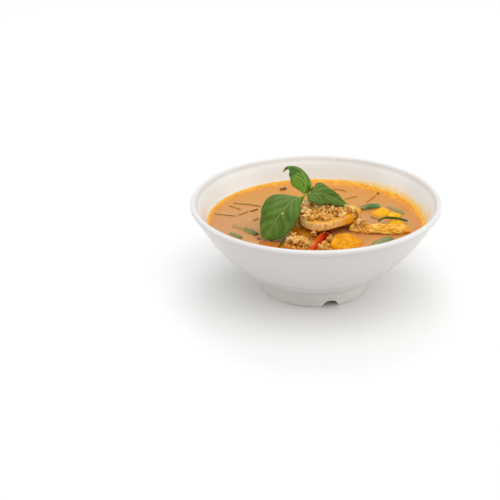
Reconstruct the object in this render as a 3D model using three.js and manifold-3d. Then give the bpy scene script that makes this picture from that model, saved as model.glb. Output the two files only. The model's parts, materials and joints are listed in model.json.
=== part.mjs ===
// A footed noodle bowl of panang curry.
//
// The bowl stands on z = 0 with its axis on the z axis. The curry fills it to a level well below the
// rim, and in the middle a slice carries a heap of crushed peanuts and a sprig of basil. Round it lie
// slices and chunks of vegetable, a strip of chicken, cut green beans and shreds of lime leaf.
// Lengths are millimetres. +Y is the far side and -Y the near side of the bowl.

import * as THREE from 'three';
import { mergeVertices } from 'three/addons/utils/BufferGeometryUtils.js';
import Module from 'manifold-3d';

const wasm = await Module();
wasm.setup();

// ---------------------------------------------------------------- driving dimensions

const GAP = 0.3;
const ROOM = 1.5 * GAP;
const CURRY_LEVEL = 52.8;

const BOWL = {
  segments: 48,
  rimRadius: 95,
  rimHeight: 70.8,
  beadRadius: 2.3,
  creaseRadius: 92.5,
  creaseHeight: 66,
  shoulderRadius: 87.6,
  shoulderHeight: 65.2,
  wall: 2.7,
  wallBelly: new THREE.Vector2(76, 32),
  innerTop: 0.8,
  innerBottom: 0.08,
  innerSteps: 6,
  beadDegrees: [-50, 0, 45, 90, 135],
  footRadius: 41.5,
  footInnerRadius: 37.2,
  footHeight: 10.8,
  footTaper: 0.6,
  footChamfer: 0.8,
  joinRadius: 45,
  joinHeight: 12.2,
  recessHeight: 6.8,
  floorRadius: 34,
  floorHeight: 11.2,
  grooveHeights: [23.6, 33.3, 42.7, 51.1, 61.5],
  swell: 0.35,
};

const NOTCH = {
  bearing: -76.5,
  baseWidth: 14.4,
  topWidth: 6.8,
  height: 5,
  rounding: 1.2,
  overrun: 3,
};

const PEANUT = {
  smallest: 1.5,
  largest: 2.8,
  spacing: 4.7,
  tries: 2.2,
  reachDown: 1.25,
};

const LEAF = {
  thickness: 0.7,
  lengthSteps: 15,
  widthSteps: 6,
  least: 0.3,
  base: 0.07,
};

const COLOURS = {
  bowl: '#efebe5',
  curry: '#d68f4a',
  paleSlice: '#dcb77c',
  brownSlice: '#9a6414',
  amberSlice: '#b5660f',
  pepper: '#c8320f',
  pumpkin: '#eba200',
  chicken: '#dba545',
  bean: '#5f7f4a',
  beanSunk: '#97885a',
  leaf: '#5c8a35',
  youngLeaf: '#77a03c',
  peanut: '#dcae6b',
  shred: '#4d6a2a',
  shredSunk: '#8d7d3c',
  chilli: '#a8402a',
  purple: '#5a3a36',
};

// ---------------------------------------------------------------- small tools

const v3 = (x, y, z) => new THREE.Vector3(x, y, z);

/** A repeatable source of numbers between 0 and 1. */
function seeded(seed) {
  let state = seed;
  return () => {
    state = (state + 0x6d2b79f5) | 0;
    let t = Math.imul(state ^ (state >>> 15), 1 | state);
    t = (t + Math.imul(t ^ (t >>> 7), 61 | t)) ^ t;
    return ((t ^ (t >>> 14)) >>> 0) / 4294967296;
  };
}

/** A smooth unevenness between about -1 and 1, different for each phase. */
function unevenness(point, wavelength, phase) {
  const k = (2 * Math.PI) / wavelength;
  const a = Math.sin(k * point.x + 1.7 * phase) * Math.cos(0.8 * k * point.y + phase);
  const b = Math.sin(1.9 * k * point.y + 2.3 * phase) * Math.cos(1.6 * k * point.z - phase);
  return 0.65 * a + 0.35 * b;
}

/** Moves every vertex of a geometry through a function of its position. */
function reshape(geometry, move) {
  const position = geometry.attributes.position;
  const point = v3(0, 0, 0);
  for (let i = 0; i < position.count; i += 1) {
    point.fromBufferAttribute(position, i);
    const moved = move(point);
    position.setXYZ(i, moved.x, moved.y, moved.z);
  }
  return geometry;
}

/** A geometry with shared vertices and no collapsed triangles. */
function welded(geometry) {
  const bare = geometry.clone();
  bare.deleteAttribute('normal');
  bare.deleteAttribute('uv');
  const merged = mergeVertices(bare, 1e-4);
  const kept = [];
  const index = merged.index.array;
  for (let i = 0; i < index.length; i += 3) {
    const [a, b, c] = [index[i], index[i + 1], index[i + 2]];
    if (a !== b && b !== c && c !== a) kept.push(a, b, c);
  }
  merged.setIndex(kept);
  return merged;
}

/** The closed solid inside a geometry. */
function solidOf(geometry) {
  const shape = welded(geometry);
  return new wasm.Manifold(new wasm.Mesh({
    numProp: 3,
    vertProperties: new Float32Array(shape.attributes.position.array),
    triVerts: new Uint32Array(shape.index.array),
  }));
}

/** The surface of a solid as a geometry. */
function geometryOf(solid) {
  const mesh = solid.getMesh();
  const geometry = new THREE.BufferGeometry();
  geometry.setAttribute('position', new THREE.BufferAttribute(mesh.vertProperties, 3));
  geometry.setIndex(new THREE.BufferAttribute(mesh.triVerts, 1));
  return geometry;
}

/** The solid grown outwards at its vertices, for the room that a neighbour leaves round it. */
function swollen(solid, amount = ROOM) {
  const shape = geometryOf(solid);
  shape.computeVertexNormals();
  const position = shape.attributes.position;
  const normal = shape.attributes.normal;
  for (let i = 0; i < position.count; i += 1) {
    position.setXYZ(
      i,
      position.getX(i) + amount * normal.getX(i),
      position.getY(i) + amount * normal.getY(i),
      position.getZ(i) + amount * normal.getZ(i),
    );
  }
  return solidOf(shape);
}

/** All solids of a list as one. */
const joined = (solids) => solids.reduce((sum, solid) => sum.add(solid));

/** A solid cut back from its neighbours, with a gap to each. */
function clearOf(solid, neighbours) {
  return neighbours.reduce((rest, other) => rest.subtract(swollen(other)), solid);
}

/** The largest connected piece of a solid, so that loose scraps and sealed hollows go. */
function largestPiece(solid) {
  const pieces = solid.decompose();
  return pieces.reduce((best, piece) => (piece.volume() > best.volume() ? piece : best));
}

// ---------------------------------------------------------------- bowl and curry

/** The outer wall at t, from the foot (0) to the crease under the rim (1), with its outward normal. */
function outerWall(t) {
  const start = new THREE.Vector2(BOWL.joinRadius, BOWL.joinHeight);
  const end = new THREE.Vector2(BOWL.creaseRadius, BOWL.creaseHeight);
  const curve = new THREE.QuadraticBezierCurve(start, BOWL.wallBelly, end);
  const tangent = curve.getTangent(t);
  return { point: curve.getPoint(t), normal: new THREE.Vector2(tangent.y, -tangent.x) };
}

/** The t at which the outer wall reaches a height. */
function wallShare(height) {
  const { joinHeight, wallBelly, creaseHeight } = BOWL;
  const a = joinHeight - 2 * wallBelly.y + creaseHeight;
  const b = 2 * (wallBelly.y - joinHeight);
  return (Math.sqrt(b * b + 4 * a * (height - joinHeight)) - b) / (2 * a);
}

/** Points up the outer wall, which swells a little between its throwing grooves. */
function groovedWall() {
  const heights = [BOWL.joinHeight, ...BOWL.grooveHeights, BOWL.creaseHeight];
  const points = [outerWall(0).point];
  for (let i = 1; i < heights.length; i += 1) {
    const crest = outerWall(wallShare((heights[i - 1] + heights[i]) / 2));
    points.push(crest.point.addScaledVector(crest.normal, BOWL.swell));
    points.push(outerWall(wallShare(heights[i])).point);
  }
  return points;
}

/** Points down the inner wall, from the shoulder under the rim to the floor. */
function innerWall() {
  const points = [new THREE.Vector2(BOWL.shoulderRadius, BOWL.shoulderHeight)];
  for (let i = 0; i <= BOWL.innerSteps; i += 1) {
    const t = THREE.MathUtils.lerp(BOWL.innerTop, BOWL.innerBottom, i / BOWL.innerSteps);
    const { point, normal } = outerWall(t);
    points.push(point.addScaledVector(normal, -BOWL.wall));
  }
  points.push(new THREE.Vector2(BOWL.floorRadius, BOWL.floorHeight));
  return points;
}

/** Points over the rounded rim, from its outside to its inside. */
function rimBead() {
  const centre = new THREE.Vector2(BOWL.rimRadius - BOWL.beadRadius, BOWL.rimHeight - BOWL.beadRadius);
  const points = [];
  for (const degrees of BOWL.beadDegrees) {
    const angle = THREE.MathUtils.degToRad(degrees);
    const offset = new THREE.Vector2(Math.cos(angle), Math.sin(angle)).multiplyScalar(BOWL.beadRadius);
    points.push(offset.add(centre));
  }
  return points;
}

/** A solid of revolution about the z axis, from a profile of radius and height that starts on the axis. */
function turned(profile) {
  const geometry = new THREE.LatheGeometry(profile, BOWL.segments);
  geometry.rotateX(Math.PI / 2);
  return solidOf(geometry);
}

/** The notch that lets water drain from the foot ring. */
function drainNotch() {
  const { baseWidth, topWidth, height, rounding, overrun } = NOTCH;
  const halfBase = baseWidth / 2;
  const halfTop = topWidth / 2;
  const outline = new THREE.Shape();
  outline.moveTo(-halfBase, -overrun);
  outline.lineTo(halfBase, -overrun);
  outline.lineTo(halfBase, 0);
  outline.quadraticCurveTo(halfTop, height, halfTop - rounding, height);
  outline.lineTo(rounding - halfTop, height);
  outline.quadraticCurveTo(-halfTop, height, -halfBase, 0);
  outline.closePath();
  const depth = BOWL.footRadius - BOWL.footInnerRadius + 2 * overrun;
  const geometry = new THREE.ExtrudeGeometry(outline, { depth, bevelEnabled: false, curveSegments: 3 });
  geometry.rotateX(Math.PI / 2);
  geometry.translate(0, BOWL.footRadius + overrun, 0);
  geometry.rotateZ(THREE.MathUtils.degToRad(NOTCH.bearing - 90));
  return solidOf(geometry);
}

function bowlSolid() {
  const { footRadius, footInnerRadius, footHeight, footTaper, footChamfer } = BOWL;
  const { recessHeight, floorHeight } = BOWL;
  const profile = [
    new THREE.Vector2(0, recessHeight),
    new THREE.Vector2(footInnerRadius, recessHeight),
    new THREE.Vector2(footInnerRadius, footChamfer),
    new THREE.Vector2(footInnerRadius + footChamfer, 0),
    new THREE.Vector2(footRadius - footChamfer, 0),
    new THREE.Vector2(footRadius, footChamfer),
    new THREE.Vector2(footRadius + footTaper, footHeight),
    ...groovedWall(),
    ...rimBead(),
    ...innerWall(),
    new THREE.Vector2(0, floorHeight),
  ];
  return turned(profile).subtract(drainNotch());
}

/** The curry, up to its level, with a gap to the bowl all round. */
function currySolid() {
  const wall = innerWall().reverse();
  const below = wall.filter((point) => point.y < CURRY_LEVEL);
  const above = wall.find((point) => point.y >= CURRY_LEVEL);
  const last = below[below.length - 1];
  const share = (CURRY_LEVEL - last.y) / (above.y - last.y);
  const edge = last.clone().lerp(above, share);
  const inset = (point) => new THREE.Vector2(point.x - GAP, point.y + GAP);
  const profile = [
    new THREE.Vector2(0, BOWL.floorHeight + GAP),
    ...below.map(inset),
    new THREE.Vector2(edge.x - ROOM, CURRY_LEVEL),
    new THREE.Vector2(0, CURRY_LEVEL),
  ];
  return turned(profile);
}

// ---------------------------------------------------------------- kinds of piece

/** An uneven block with soft corners, such as a chunk of pumpkin. */
function chunk({ size, centre, turn = [0, 0, 0], roundness = 0.35, relief = 0.5, phase = 0, splits = 3 }) {
  const geometry = new THREE.BoxGeometry(2, 2, 2, splits, splits, splits);
  const half = v3(...size).multiplyScalar(0.5);
  reshape(geometry, (point) => {
    const round = point.clone().normalize();
    const place = point.clone().lerp(round, roundness).multiply(half);
    return place.addScaledVector(round, relief * unevenness(place, 11, phase));
  });
  const angles = turn.map(THREE.MathUtils.degToRad);
  geometry.applyMatrix4(new THREE.Matrix4().makeRotationFromEuler(new THREE.Euler(...angles, 'XYZ')));
  geometry.translate(...centre);
  return solidOf(geometry);
}

/** A flat slice with a rounded edge, from its outline seen from above. */
function slice({ outline, top, thickness, edge = 1.2, divisions = 24 }) {
  const curve = new THREE.CatmullRomCurve3(outline.map(([x, y]) => v3(x, y, 0)), true);
  const points = curve.getSpacedPoints(divisions).slice(0, -1);
  const shape = new THREE.Shape(points.map((point) => new THREE.Vector2(point.x, point.y)));
  const geometry = new THREE.ExtrudeGeometry(shape, {
    depth: thickness - 2 * edge,
    bevelThickness: edge,
    bevelSize: edge,
    bevelOffset: -edge,
    bevelSegments: 2,
  });
  geometry.translate(0, 0, top - thickness + edge);
  return solidOf(geometry);
}

/** The place and frame of a path at t: sideways is level, and lift points upwards. */
function frameAt(path, t, up = v3(0, 0, 1)) {
  const tangent = path.getTangent(t);
  const side = tangent.clone().cross(up).normalize();
  const lift = side.clone().cross(tangent).normalize();
  return { point: path.getPoint(t), side, lift };
}

/** A round or oval length of food along a path, such as a cut bean. */
function rod({ through, width, height, rings = 8, sides = 8, ends = 0.85, relief = 0, phase = 0 }) {
  const path = new THREE.CatmullRomCurve3(through.map((p) => v3(...p)));
  const geometry = new THREE.CylinderGeometry(1, 1, 1, sides, rings);
  reshape(geometry, (point) => {
    const t = point.y + 0.5;
    const { point: centre, side, lift } = frameAt(path, t);
    const nearEnd = Math.abs(2 * t - 1) ** 6;
    const taper = 1 - (1 - ends) * nearEnd;
    const bump = 1 + relief * unevenness(centre.clone().add(point), 7, phase);
    centre.addScaledVector(side, 0.5 * width * taper * bump * point.x);
    return centre.addScaledVector(lift, 0.5 * height * taper * bump * point.z);
  });
  return solidOf(geometry);
}

/** A thin strip along a path, such as a shred of lime leaf. */
function strip({ through, width, thickness, steps = 7, ends = 0.5 }) {
  const path = new THREE.CatmullRomCurve3(through.map((p) => v3(...p)));
  const geometry = new THREE.BoxGeometry(1, 1, 1, steps, 1, 1);
  reshape(geometry, (point) => {
    const t = point.x + 0.5;
    const { point: centre, side, lift } = frameAt(path, t);
    const taper = 1 - (1 - ends) * Math.abs(2 * t - 1) ** 4;
    centre.addScaledVector(side, -width * taper * point.y);
    return centre.addScaledVector(lift, thickness * point.z);
  });
  return solidOf(geometry);
}

/** A closed thin sheet. Both faces are split into the same triangles. */
function sheet(lengthSteps, widthSteps, place) {
  const plane = new THREE.PlaneGeometry(1, 1, lengthSteps, widthSteps);
  const count = plane.attributes.position.count;
  const points = [];
  for (const face of [0.5, -0.5]) {
    for (let i = 0; i < count; i += 1) {
      const u = plane.attributes.position.getX(i) + 0.5;
      const v = 2 * plane.attributes.position.getY(i);
      points.push(...place(u, v, face).toArray());
    }
  }
  const index = [];
  for (let i = 0; i < plane.index.count; i += 3) {
    const [a, b, c] = [0, 1, 2].map((k) => plane.index.getX(i + k));
    index.push(a, b, c, count + a, count + c, count + b);
  }
  const rim = rimOfPlane(lengthSteps + 1, widthSteps + 1);
  rim.forEach((a, i) => {
    const b = rim[(i + 1) % rim.length];
    index.push(a, count + a, b, b, count + a, count + b);
  });
  const geometry = new THREE.BufferGeometry();
  geometry.setAttribute('position', new THREE.Float32BufferAttribute(points, 3));
  geometry.setIndex(index);
  return solidOf(geometry);
}

/** The vertices round the edge of a grid of columns and rows, anticlockwise seen from its front. */
function rimOfPlane(columns, rows) {
  const last = (rows - 1) * columns;
  const rim = [];
  for (let i = 0; i < columns - 1; i += 1) rim.push(last + i);
  for (let j = rows - 1; j > 0; j -= 1) rim.push(j * columns + columns - 1);
  for (let i = columns - 1; i > 0; i -= 1) rim.push(i);
  for (let j = 0; j < rows - 1; j += 1) rim.push(j * columns);
  return rim;
}

/** A value that runs smoothly through values given at equal steps from u = 0 to u = 1. */
function along(values, u) {
  const curve = new THREE.SplineCurve(values.map((value) => new THREE.Vector2(0, value)));
  return curve.getPoint(u).y;
}

/**
 * A basil leaf. Its midrib runs through the given points, from the stem to the tip, and right points
 * to its right-hand side. The left and the right half of the blade each have their widths at equal
 * steps from the stem to the tip. The halves fold up along the midrib by fold degrees, and droop
 * towards their edges.
 */
function basilLeaf({ rib, right, leftWidths, rightWidths, fold = 0, droop, ruffle = 0.6, phase }) {
  const path = new THREE.CatmullRomCurve3(rib.map((p) => v3(...p)));
  const bend = THREE.MathUtils.degToRad(fold);
  const place = (u, v, face) => {
    const tangent = path.getTangent(u);
    const out = v3(...right);
    out.addScaledVector(tangent, -out.dot(tangent)).normalize();
    const up = out.clone().cross(tangent).normalize();
    const rounding = Math.sqrt(Math.min(1, u / LEAF.base));
    const width = Math.max(along(v > 0 ? leftWidths : rightWidths, u) * rounding, LEAF.least);
    const reach = Math.abs(v) * width;
    const wave = ruffle * v * v * Math.sin(9 * u + phase + 1.3 * Math.sign(v)) * Math.sin(Math.PI * u);
    const rise = Math.sin(bend) * reach - droop * reach * Math.abs(v) + wave + face * LEAF.thickness;
    const point = path.getPoint(u);
    point.addScaledVector(out, -Math.sign(v) * Math.cos(bend) * reach);
    return point.addScaledVector(up, rise);
  };
  return sheet(LEAF.lengthSteps, LEAF.widthSteps, place);
}

// ---------------------------------------------------------------- crushed peanuts

/** Whether a point lies inside a lump shrunk or grown by a share. */
function insideLump(point, lump, share = 1) {
  const [x, y, z] = point.toArray().map((value, k) => (value - lump.centre[k]) / lump.radii[k]);
  return x * x + y * y + z * z < share * share;
}

function lumpSolid(lump) {
  const geometry = new THREE.SphereGeometry(1, 10, 6);
  geometry.scale(...lump.radii);
  geometry.translate(...lump.centre);
  return solidOf(geometry);
}

/** One crumb of peanut: a few irregular flat faces. */
function peanutCrumb(centre, radius, random) {
  const geometry = welded(new THREE.IcosahedronGeometry(radius, 0));
  const stretch = v3(0.8 + 0.4 * random(), 0.8 + 0.4 * random(), 0.7 + 0.3 * random());
  reshape(geometry, (point) => point.clone().multiply(stretch).multiplyScalar(0.85 + 0.3 * random()));
  geometry.rotateZ(Math.PI * random());
  geometry.rotateX(Math.PI * random());
  geometry.translate(...centre.toArray());
  return solidOf(geometry);
}

/** Places for crumbs: spread over the lumps from the top down, none too near another. */
function crumbPlaces(lumps, lowest, random) {
  const places = [];
  const goldenAngle = Math.PI * (3 - Math.sqrt(5));
  const jitter = 0.5;
  const { tries: triesPerSpace, reachDown } = PEANUT;
  for (const lump of lumps) {
    const [a, b, c] = lump.radii;
    const tries = Math.round((triesPerSpace * Math.PI * (a * b + b * c + a * c)) / PEANUT.spacing ** 2);
    for (let i = 0; i < tries; i += 1) {
      const height = 1 - (reachDown * (i + 0.5)) / tries;
      const ring = Math.sqrt(1 - height * height);
      const angle = i * goldenAngle + jitter * random();
      const point = v3(a * ring * Math.cos(angle), b * ring * Math.sin(angle), c * height);
      point.add(v3(...lump.centre));
      const radius = THREE.MathUtils.lerp(PEANUT.smallest, PEANUT.largest, random() ** 1.4);
      point.z = Math.max(point.z, lowest + 1.15 * radius);
      const buried = lumps.some((other) => other !== lump && insideLump(point, other, 0.97));
      const crowded = places.some((place) => place.point.distanceTo(point) < PEANUT.spacing);
      if (!buried && !crowded) places.push({ point, radius });
    }
  }
  return places;
}

/** A heap of crushed peanuts: a lumpy core with crumbs over it, clear of its neighbours. */
function peanutHeap({ lumps, neighbours, seed, lowest = CURRY_LEVEL + GAP }) {
  const random = seeded(seed);
  const keepOut = joined(neighbours.map((solid) => swollen(solid)));
  let heap = joined(lumps.map(lumpSolid)).subtract(keepOut);
  for (const { point, radius } of crumbPlaces(lumps, lowest, random)) {
    const crumb = peanutCrumb(point, radius, random);
    const crossing = crumb.intersect(keepOut).volume() > 1e-3;
    if (!crossing) heap = heap.add(crumb);
  }
  return largestPiece(heap);
}

// ---------------------------------------------------------------- the pieces

const bowl = bowlSolid();
const curryUncut = currySolid();

const paleSlice = slice({
  outline: [
    [-12.4, -20], [-9.4, -27], [-1.5, -33], [7.5, -32.2], [18, -25], [27.5, -18],
    [33.8, -10], [32, -2], [22, 2], [8, -3], [-5, -9],
  ],
  top: 65,
  thickness: 6.5,
});

const brownSlice = chunk({
  size: [22, 20, 6],
  centre: [-10, -30.6, 51.2],
  turn: [24, 0, -4],
  roundness: 0.3,
  relief: 0.35,
  phase: 1.1,
});

const amberSlice = slice({
  outline: [
    [-43, -37], [-34, -35], [-24, -37], [-9.5, -44.5], [-9, -54], [-20, -60], [-36, -54], [-43, -46],
  ],
  top: 53.7,
  thickness: 4.5,
  edge: 0.9,
  divisions: 17,
});

const pepperStrip = strip({
  through: [[9, -29, 56.2], [5.4, -33.6, 56.3], [1.6, -39.6, 55.3], [-1.8, -46.2, 53.9], [-5, -53, 52]],
  width: 5.8,
  thickness: 2.4,
  steps: 9,
  ends: 0.75,
});

const pumpkinChunk = chunk({
  size: [24, 25, 10],
  centre: [20, -44.6, 52.2],
  turn: [6, 2, -28],
  roundness: 0.72,
  relief: 1.1,
  phase: 2.4,
});

const chickenStrip = rod({
  through: [[25, -19.5, 54.2], [35, -21.5, 54.6], [47, -23.8, 54.9], [58, -24.4, 54.8], [68, -23, 54.2]],
  width: 9.4,
  height: 8,
  rings: 12,
  sides: 8,
  ends: 0.6,
  relief: 0.13,
  phase: 0.6,
});

const MOUND = { roundness: 0.62, relief: 0.7 };
const yellowChunks = [
  chunk({ size: [15, 11, 9], centre: [50.6, 9.4, 52.2], turn: [6, 3, 34], ...MOUND, phase: 0.3 }),
  chunk({ size: [10.5, 8.6, 8], centre: [60, 4.3, 51.5], turn: [8, 4, -20], ...MOUND, phase: 1.9 }),
  chunk({ size: [12, 9.2, 7.4], centre: [61, -9.6, 51.3], turn: [4, 3, 10], ...MOUND, phase: 3.1 }),
];

const beans = {
  bean_back: rod({
    through: [[34, 18.6, 53.4], [42, 22, 53.8], [50.5, 24.4, 53.6]],
    width: 4.8,
    height: 4.6,
    rings: 5,
  }),
  bean_right: rod({
    through: [[58.6, 23.8, 51.8], [63.8, 17, 52], [67.6, 9.4, 51.7]],
    width: 4.6,
    height: 4.2,
    rings: 5,
  }),
  bean_front: rod({
    through: [[38.6, -49, 52.4], [46.4, -42, 53.2], [55, -34.4, 52.6]],
    width: 6.4,
    height: 4.6,
    rings: 6,
    ends: 0.4,
  }),
  bean_left: rod({
    through: [[-62, -7, 51.5], [-53, -15.4, 52], [-45.4, -25.4, 52.2]],
    width: 6,
    height: 4.6,
    rings: 5,
  }),
  bean_edge: rod({
    through: [[-65, -21.4, 51.4], [-61, -25.6, 51.9], [-56.6, -31, 51.8]],
    width: 5,
    height: 4.4,
    rings: 4,
  }),
};

const leafFront = basilLeaf({
  rib: [
    [-12.4, -8.6, 75.6], [-17.6, -14.6, 75.6], [-22, -19.8, 74], [-26.9, -26, 70.8],
    [-30.3, -30.4, 67.2], [-34.7, -34.4, 61.8], [-38.5, -36.9, 57], [-39.8, -38.2, 55.2],
  ],
  right: [-0.776, 0.581, 0.232],
  leftWidths: [2.4, 7.6, 11.2, 12.8, 13.6, 11.4, 5.8, 0.4],
  rightWidths: [8.4, 15.6, 17.8, 16.6, 14.2, 11, 4.8, 0.4],
  droop: 0.18,
  phase: 0.4,
});

const leafRight = basilLeaf({
  rib: [
    [-6.6, -3.2, 76], [-2.9, -5, 77], [3, -5.8, 77.7], [8.9, -7.3, 76.6],
    [14.9, -8.2, 73.6], [20.2, -7.6, 70.4], [24.2, -6.8, 68.2],
  ],
  right: [-0.224, -0.857, -0.457],
  leftWidths: [0.9, 2.4, 10.2, 7.2, 5.2, 4.4, 2.2, 0.4],
  rightWidths: [0.9, 7.4, 11, 11.2, 6.9, 4.9, 3.6, 0.4],
  fold: 6,
  droop: 0.05,
  ruffle: 0.8,
  phase: 1.2,
});

const leafTop = basilLeaf({
  rib: [
    [-9.2, -2.8, 76], [-7.8, 0.6, 79.2], [-7.2, 4.6, 83.2], [-8.4, 8.2, 86.2],
    [-10.8, 12.9, 88.4], [-14.4, 18.4, 89.6], [-20.2, 22.2, 88.6], [-23.8, 22.8, 84],
  ],
  right: [0.86, 0.475, -0.15],
  leftWidths: [2.4, 9.6, 11.2, 10.8, 9.6, 6.6, 2.6, 0.4],
  rightWidths: [0.9, 5.6, 6.8, 6.9, 6.6, 5.4, 2.6, 0.4],
  fold: -22,
  droop: 0.08,
  ruffle: 0.5,
  phase: 2.2,
});

const STALKS = {
  stem: [[-12.4, -4.4, 65.6], [-11.3, -3.8, 70], [-9.8, -3.2, 73.2], [-8.9, -3, 75]],
  frontStalk: [[-9.9, -3.4, 73.2], [-11, -5.6, 74.8], [-12.2, -8.2, 75.4]],
  rightStalk: [[-9, -2.9, 74.6], [-7.8, -3, 75.6], [-6.8, -3.2, 75.9]],
};

const sprigBud = chunk({
  size: [2.8, 2.2, 6.6],
  centre: [-3.6, 1.4, 79.2],
  turn: [-20, 18, 0],
  roundness: 0.9,
  relief: 0.1,
  splits: 2,
});

const stalks = Object.values(STALKS).map((through, i) => rod({
  through,
  width: i === 0 ? 2.1 : 1.5,
  height: i === 0 ? 2.1 : 1.5,
  rings: 4,
  ends: 0.8,
}));
const stemRest = largestPiece(clearOf(joined(stalks), [leafFront, leafRight, leafTop]));

const chickenRest = clearOf(chickenStrip, [paleSlice]);
const pepperRest = clearOf(pepperStrip, [paleSlice, amberSlice]);
const brownRest = clearOf(brownSlice, [paleSlice, amberSlice]);
const pumpkinRest = clearOf(pumpkinChunk, [paleSlice, pepperRest]);
const yellowRest = yellowChunks.map((solid, i) => {
  const before = yellowChunks.slice(0, i);
  return clearOf(solid, [chickenRest, ...before]);
});
const budRest = clearOf(sprigBud, [leafTop, leafRight, stemRest]);

const sprig = [leafFront, leafRight, leafTop, stemRest, budRest];
const carriers = [paleSlice, brownRest, chickenRest, pumpkinRest, pepperRest, amberSlice];

const heaps = {
  peanut_heap: peanutHeap({
    lumps: [
      { centre: [-5, -7, 53], radii: [15, 17, 18] },
      { centre: [15, -1, 53], radii: [19, 14, 13.5] },
      { centre: [6, -13, 63], radii: [13, 10, 7.2] },
      { centre: [18, -9, 62.6], radii: [12, 8.6, 6.4] },
      { centre: [-3.5, -22.5, 63.5], radii: [8, 7.6, 6.4] },
      { centre: [5.5, -24, 63], radii: [8, 7, 5.6] },
      { centre: [15, -17.5, 63], radii: [9, 7.4, 5.4] },
      { centre: [25, -11.5, 62.6], radii: [8.2, 7, 5.4] },
    ],
    neighbours: [curryUncut, ...carriers, ...sprig],
    seed: 11,
  }),
  peanut_front_left: peanutHeap({
    lumps: [
      { centre: [-16.5, -41, 52.8], radii: [6.4, 7.4, 5] },
      { centre: [-10, -46, 52.5], radii: [5.5, 6, 3.4] },
    ],
    neighbours: [curryUncut, ...carriers, leafFront],
    seed: 23,
  }),
  peanut_under: peanutHeap({
    lumps: [{ centre: [-3.2, -35.4, 58.2], radii: [2.2, 1.7, 2.2] }],
    neighbours: [curryUncut, ...carriers],
    seed: 61,
  }),
  peanut_front_centre: peanutHeap({
    lumps: [{ centre: [4, -50.5, 52.4], radii: [4.4, 4.2, 3.4] }],
    neighbours: [curryUncut, ...carriers],
    seed: 31,
  }),
  peanut_front_right: peanutHeap({
    lumps: [
      { centre: [9, -42.6, 55.6], radii: [3.2, 2.8, 2.2] },
      { centre: [14, -36.6, 56.6], radii: [4, 2.8, 2.4] },
    ],
    neighbours: [curryUncut, ...carriers],
    seed: 47,
  }),
  peanut_side: peanutHeap({
    lumps: [{ centre: [33, -20, 57.4], radii: [6, 5, 3.4] }],
    neighbours: [curryUncut, ...carriers],
    seed: 53,
  }),
};

/** A shred that lies on the curry through places given as x and y. */
const floating = (places, width = 1.1, thickness = 0.5) => strip({
  through: places.map(([x, y]) => [x, y, CURRY_LEVEL + GAP + 0.5 * thickness]),
  width,
  thickness,
  steps: 5,
});

const shreds = {
  shred_left_back: floating([[-62.3, 35.2], [-57, 34.6], [-51.8, 33.6], [-46.4, 31.2], [-41, 28.6]]),
  shred_left_short: floating([[-66, 31], [-61, 26.6], [-56.4, 22.6]], 0.9),
  shred_left_long: floating([[-77, 15.4], [-70, 13], [-63, 11.2], [-59.6, 10.2]]),
  shred_left_bend: floating([[-58.6, 12], [-54.4, 15.6], [-50.4, 20]], 0.9),
  shred_left_bright: floating([[-49.4, 18.6], [-46, 20.6], [-43.4, 23.4]]),
  shred_leaf_side: floating([[-47.6, 0.6], [-45, 3.6], [-42.8, 6.2]]),
  shred_back: floating([[17.5, 61.8], [22.6, 60.4], [27.6, 56]], 0.8),
  shred_back_low: floating([[25.6, 40], [30.4, 43.6], [35.6, 45.2]], 0.8),
  shred_right: floating([[42.4, 5.6], [45.4, 2.6], [49.2, -1.2]], 0.9),
};

const archedShred = strip({
  through: [
    [46.4, -20, 60.4], [48.4, -14.6, 59.8], [52.4, -9.4, 58.6],
    [58, -6.8, 57.4], [63.6, -7, 56.4], [69, -8.6, 55.2],
  ],
  width: 1.7,
  thickness: 0.8,
  steps: 9,
});

const frontShred = strip({
  through: [[-24.6, -35.6, 55], [-26.8, -42.6, 54.5], [-29, -50.4, 54.4]],
  width: 1.2,
  thickness: 0.6,
});

const chilliThread = floating([[42, 34], [46, 39.6], [50.4, 47]], 0.8);

const darkBits = {
  herb_bit_front: chunk({
    size: [3, 1.6, 1.2],
    centre: [-43.4, -33.4, 53.8],
    turn: [0, 0, -20],
    relief: 0.1,
    splits: 2,
  }),
  herb_bit_back: chunk({
    size: [6.4, 2, 1.2],
    centre: [-22.6, 62.6, 53.9],
    turn: [0, 0, 25],
    relief: 0.2,
    splits: 2,
  }),
  herb_bit_far: chunk({
    size: [1.8, 1.6, 1.1],
    centre: [52.4, 50.4, 53.8],
    relief: 0.1,
    splits: 2,
  }),
};

const sunkInCurry = [
  brownRest, amberSlice, pepperRest, pumpkinRest, chickenRest, ...yellowRest,
  ...Object.values(beans),
];
const curry = clearOf(curryUncut, sunkInCurry);

// ---------------------------------------------------------------- the scene graph

const object = new THREE.Group();

function addPiece(name, solid, colour, roughness = 0.5) {
  const material = new THREE.MeshStandardMaterial({ color: colour, roughness, metalness: 0 });
  const mesh = new THREE.Mesh(geometryOf(solid), material);
  mesh.name = name;
  object.add(mesh);
}

addPiece('bowl', bowl, COLOURS.bowl, 0.18);
addPiece('curry', curry, COLOURS.curry, 0.25);
addPiece('pale_slice', paleSlice, COLOURS.paleSlice);
addPiece('brown_slice', brownRest, COLOURS.brownSlice, 0.3);
addPiece('amber_slice', amberSlice, COLOURS.amberSlice, 0.25);
addPiece('pepper_strip', pepperRest, COLOURS.pepper, 0.3);
addPiece('pumpkin_chunk', pumpkinRest, COLOURS.pumpkin, 0.4);
addPiece('chicken_strip', chickenRest, COLOURS.chicken);
yellowRest.forEach((solid, i) => addPiece(`yellow_chunk_${i + 1}`, solid, COLOURS.pumpkin, 0.4));
for (const [name, solid] of Object.entries(beans)) {
  const sunk = name === 'bean_right' || name === 'bean_left';
  addPiece(name, solid, sunk ? COLOURS.beanSunk : COLOURS.bean, 0.4);
}
addPiece('leaf_front', leafFront, COLOURS.leaf, 0.4);
addPiece('leaf_right', leafRight, COLOURS.leaf, 0.4);
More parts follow.
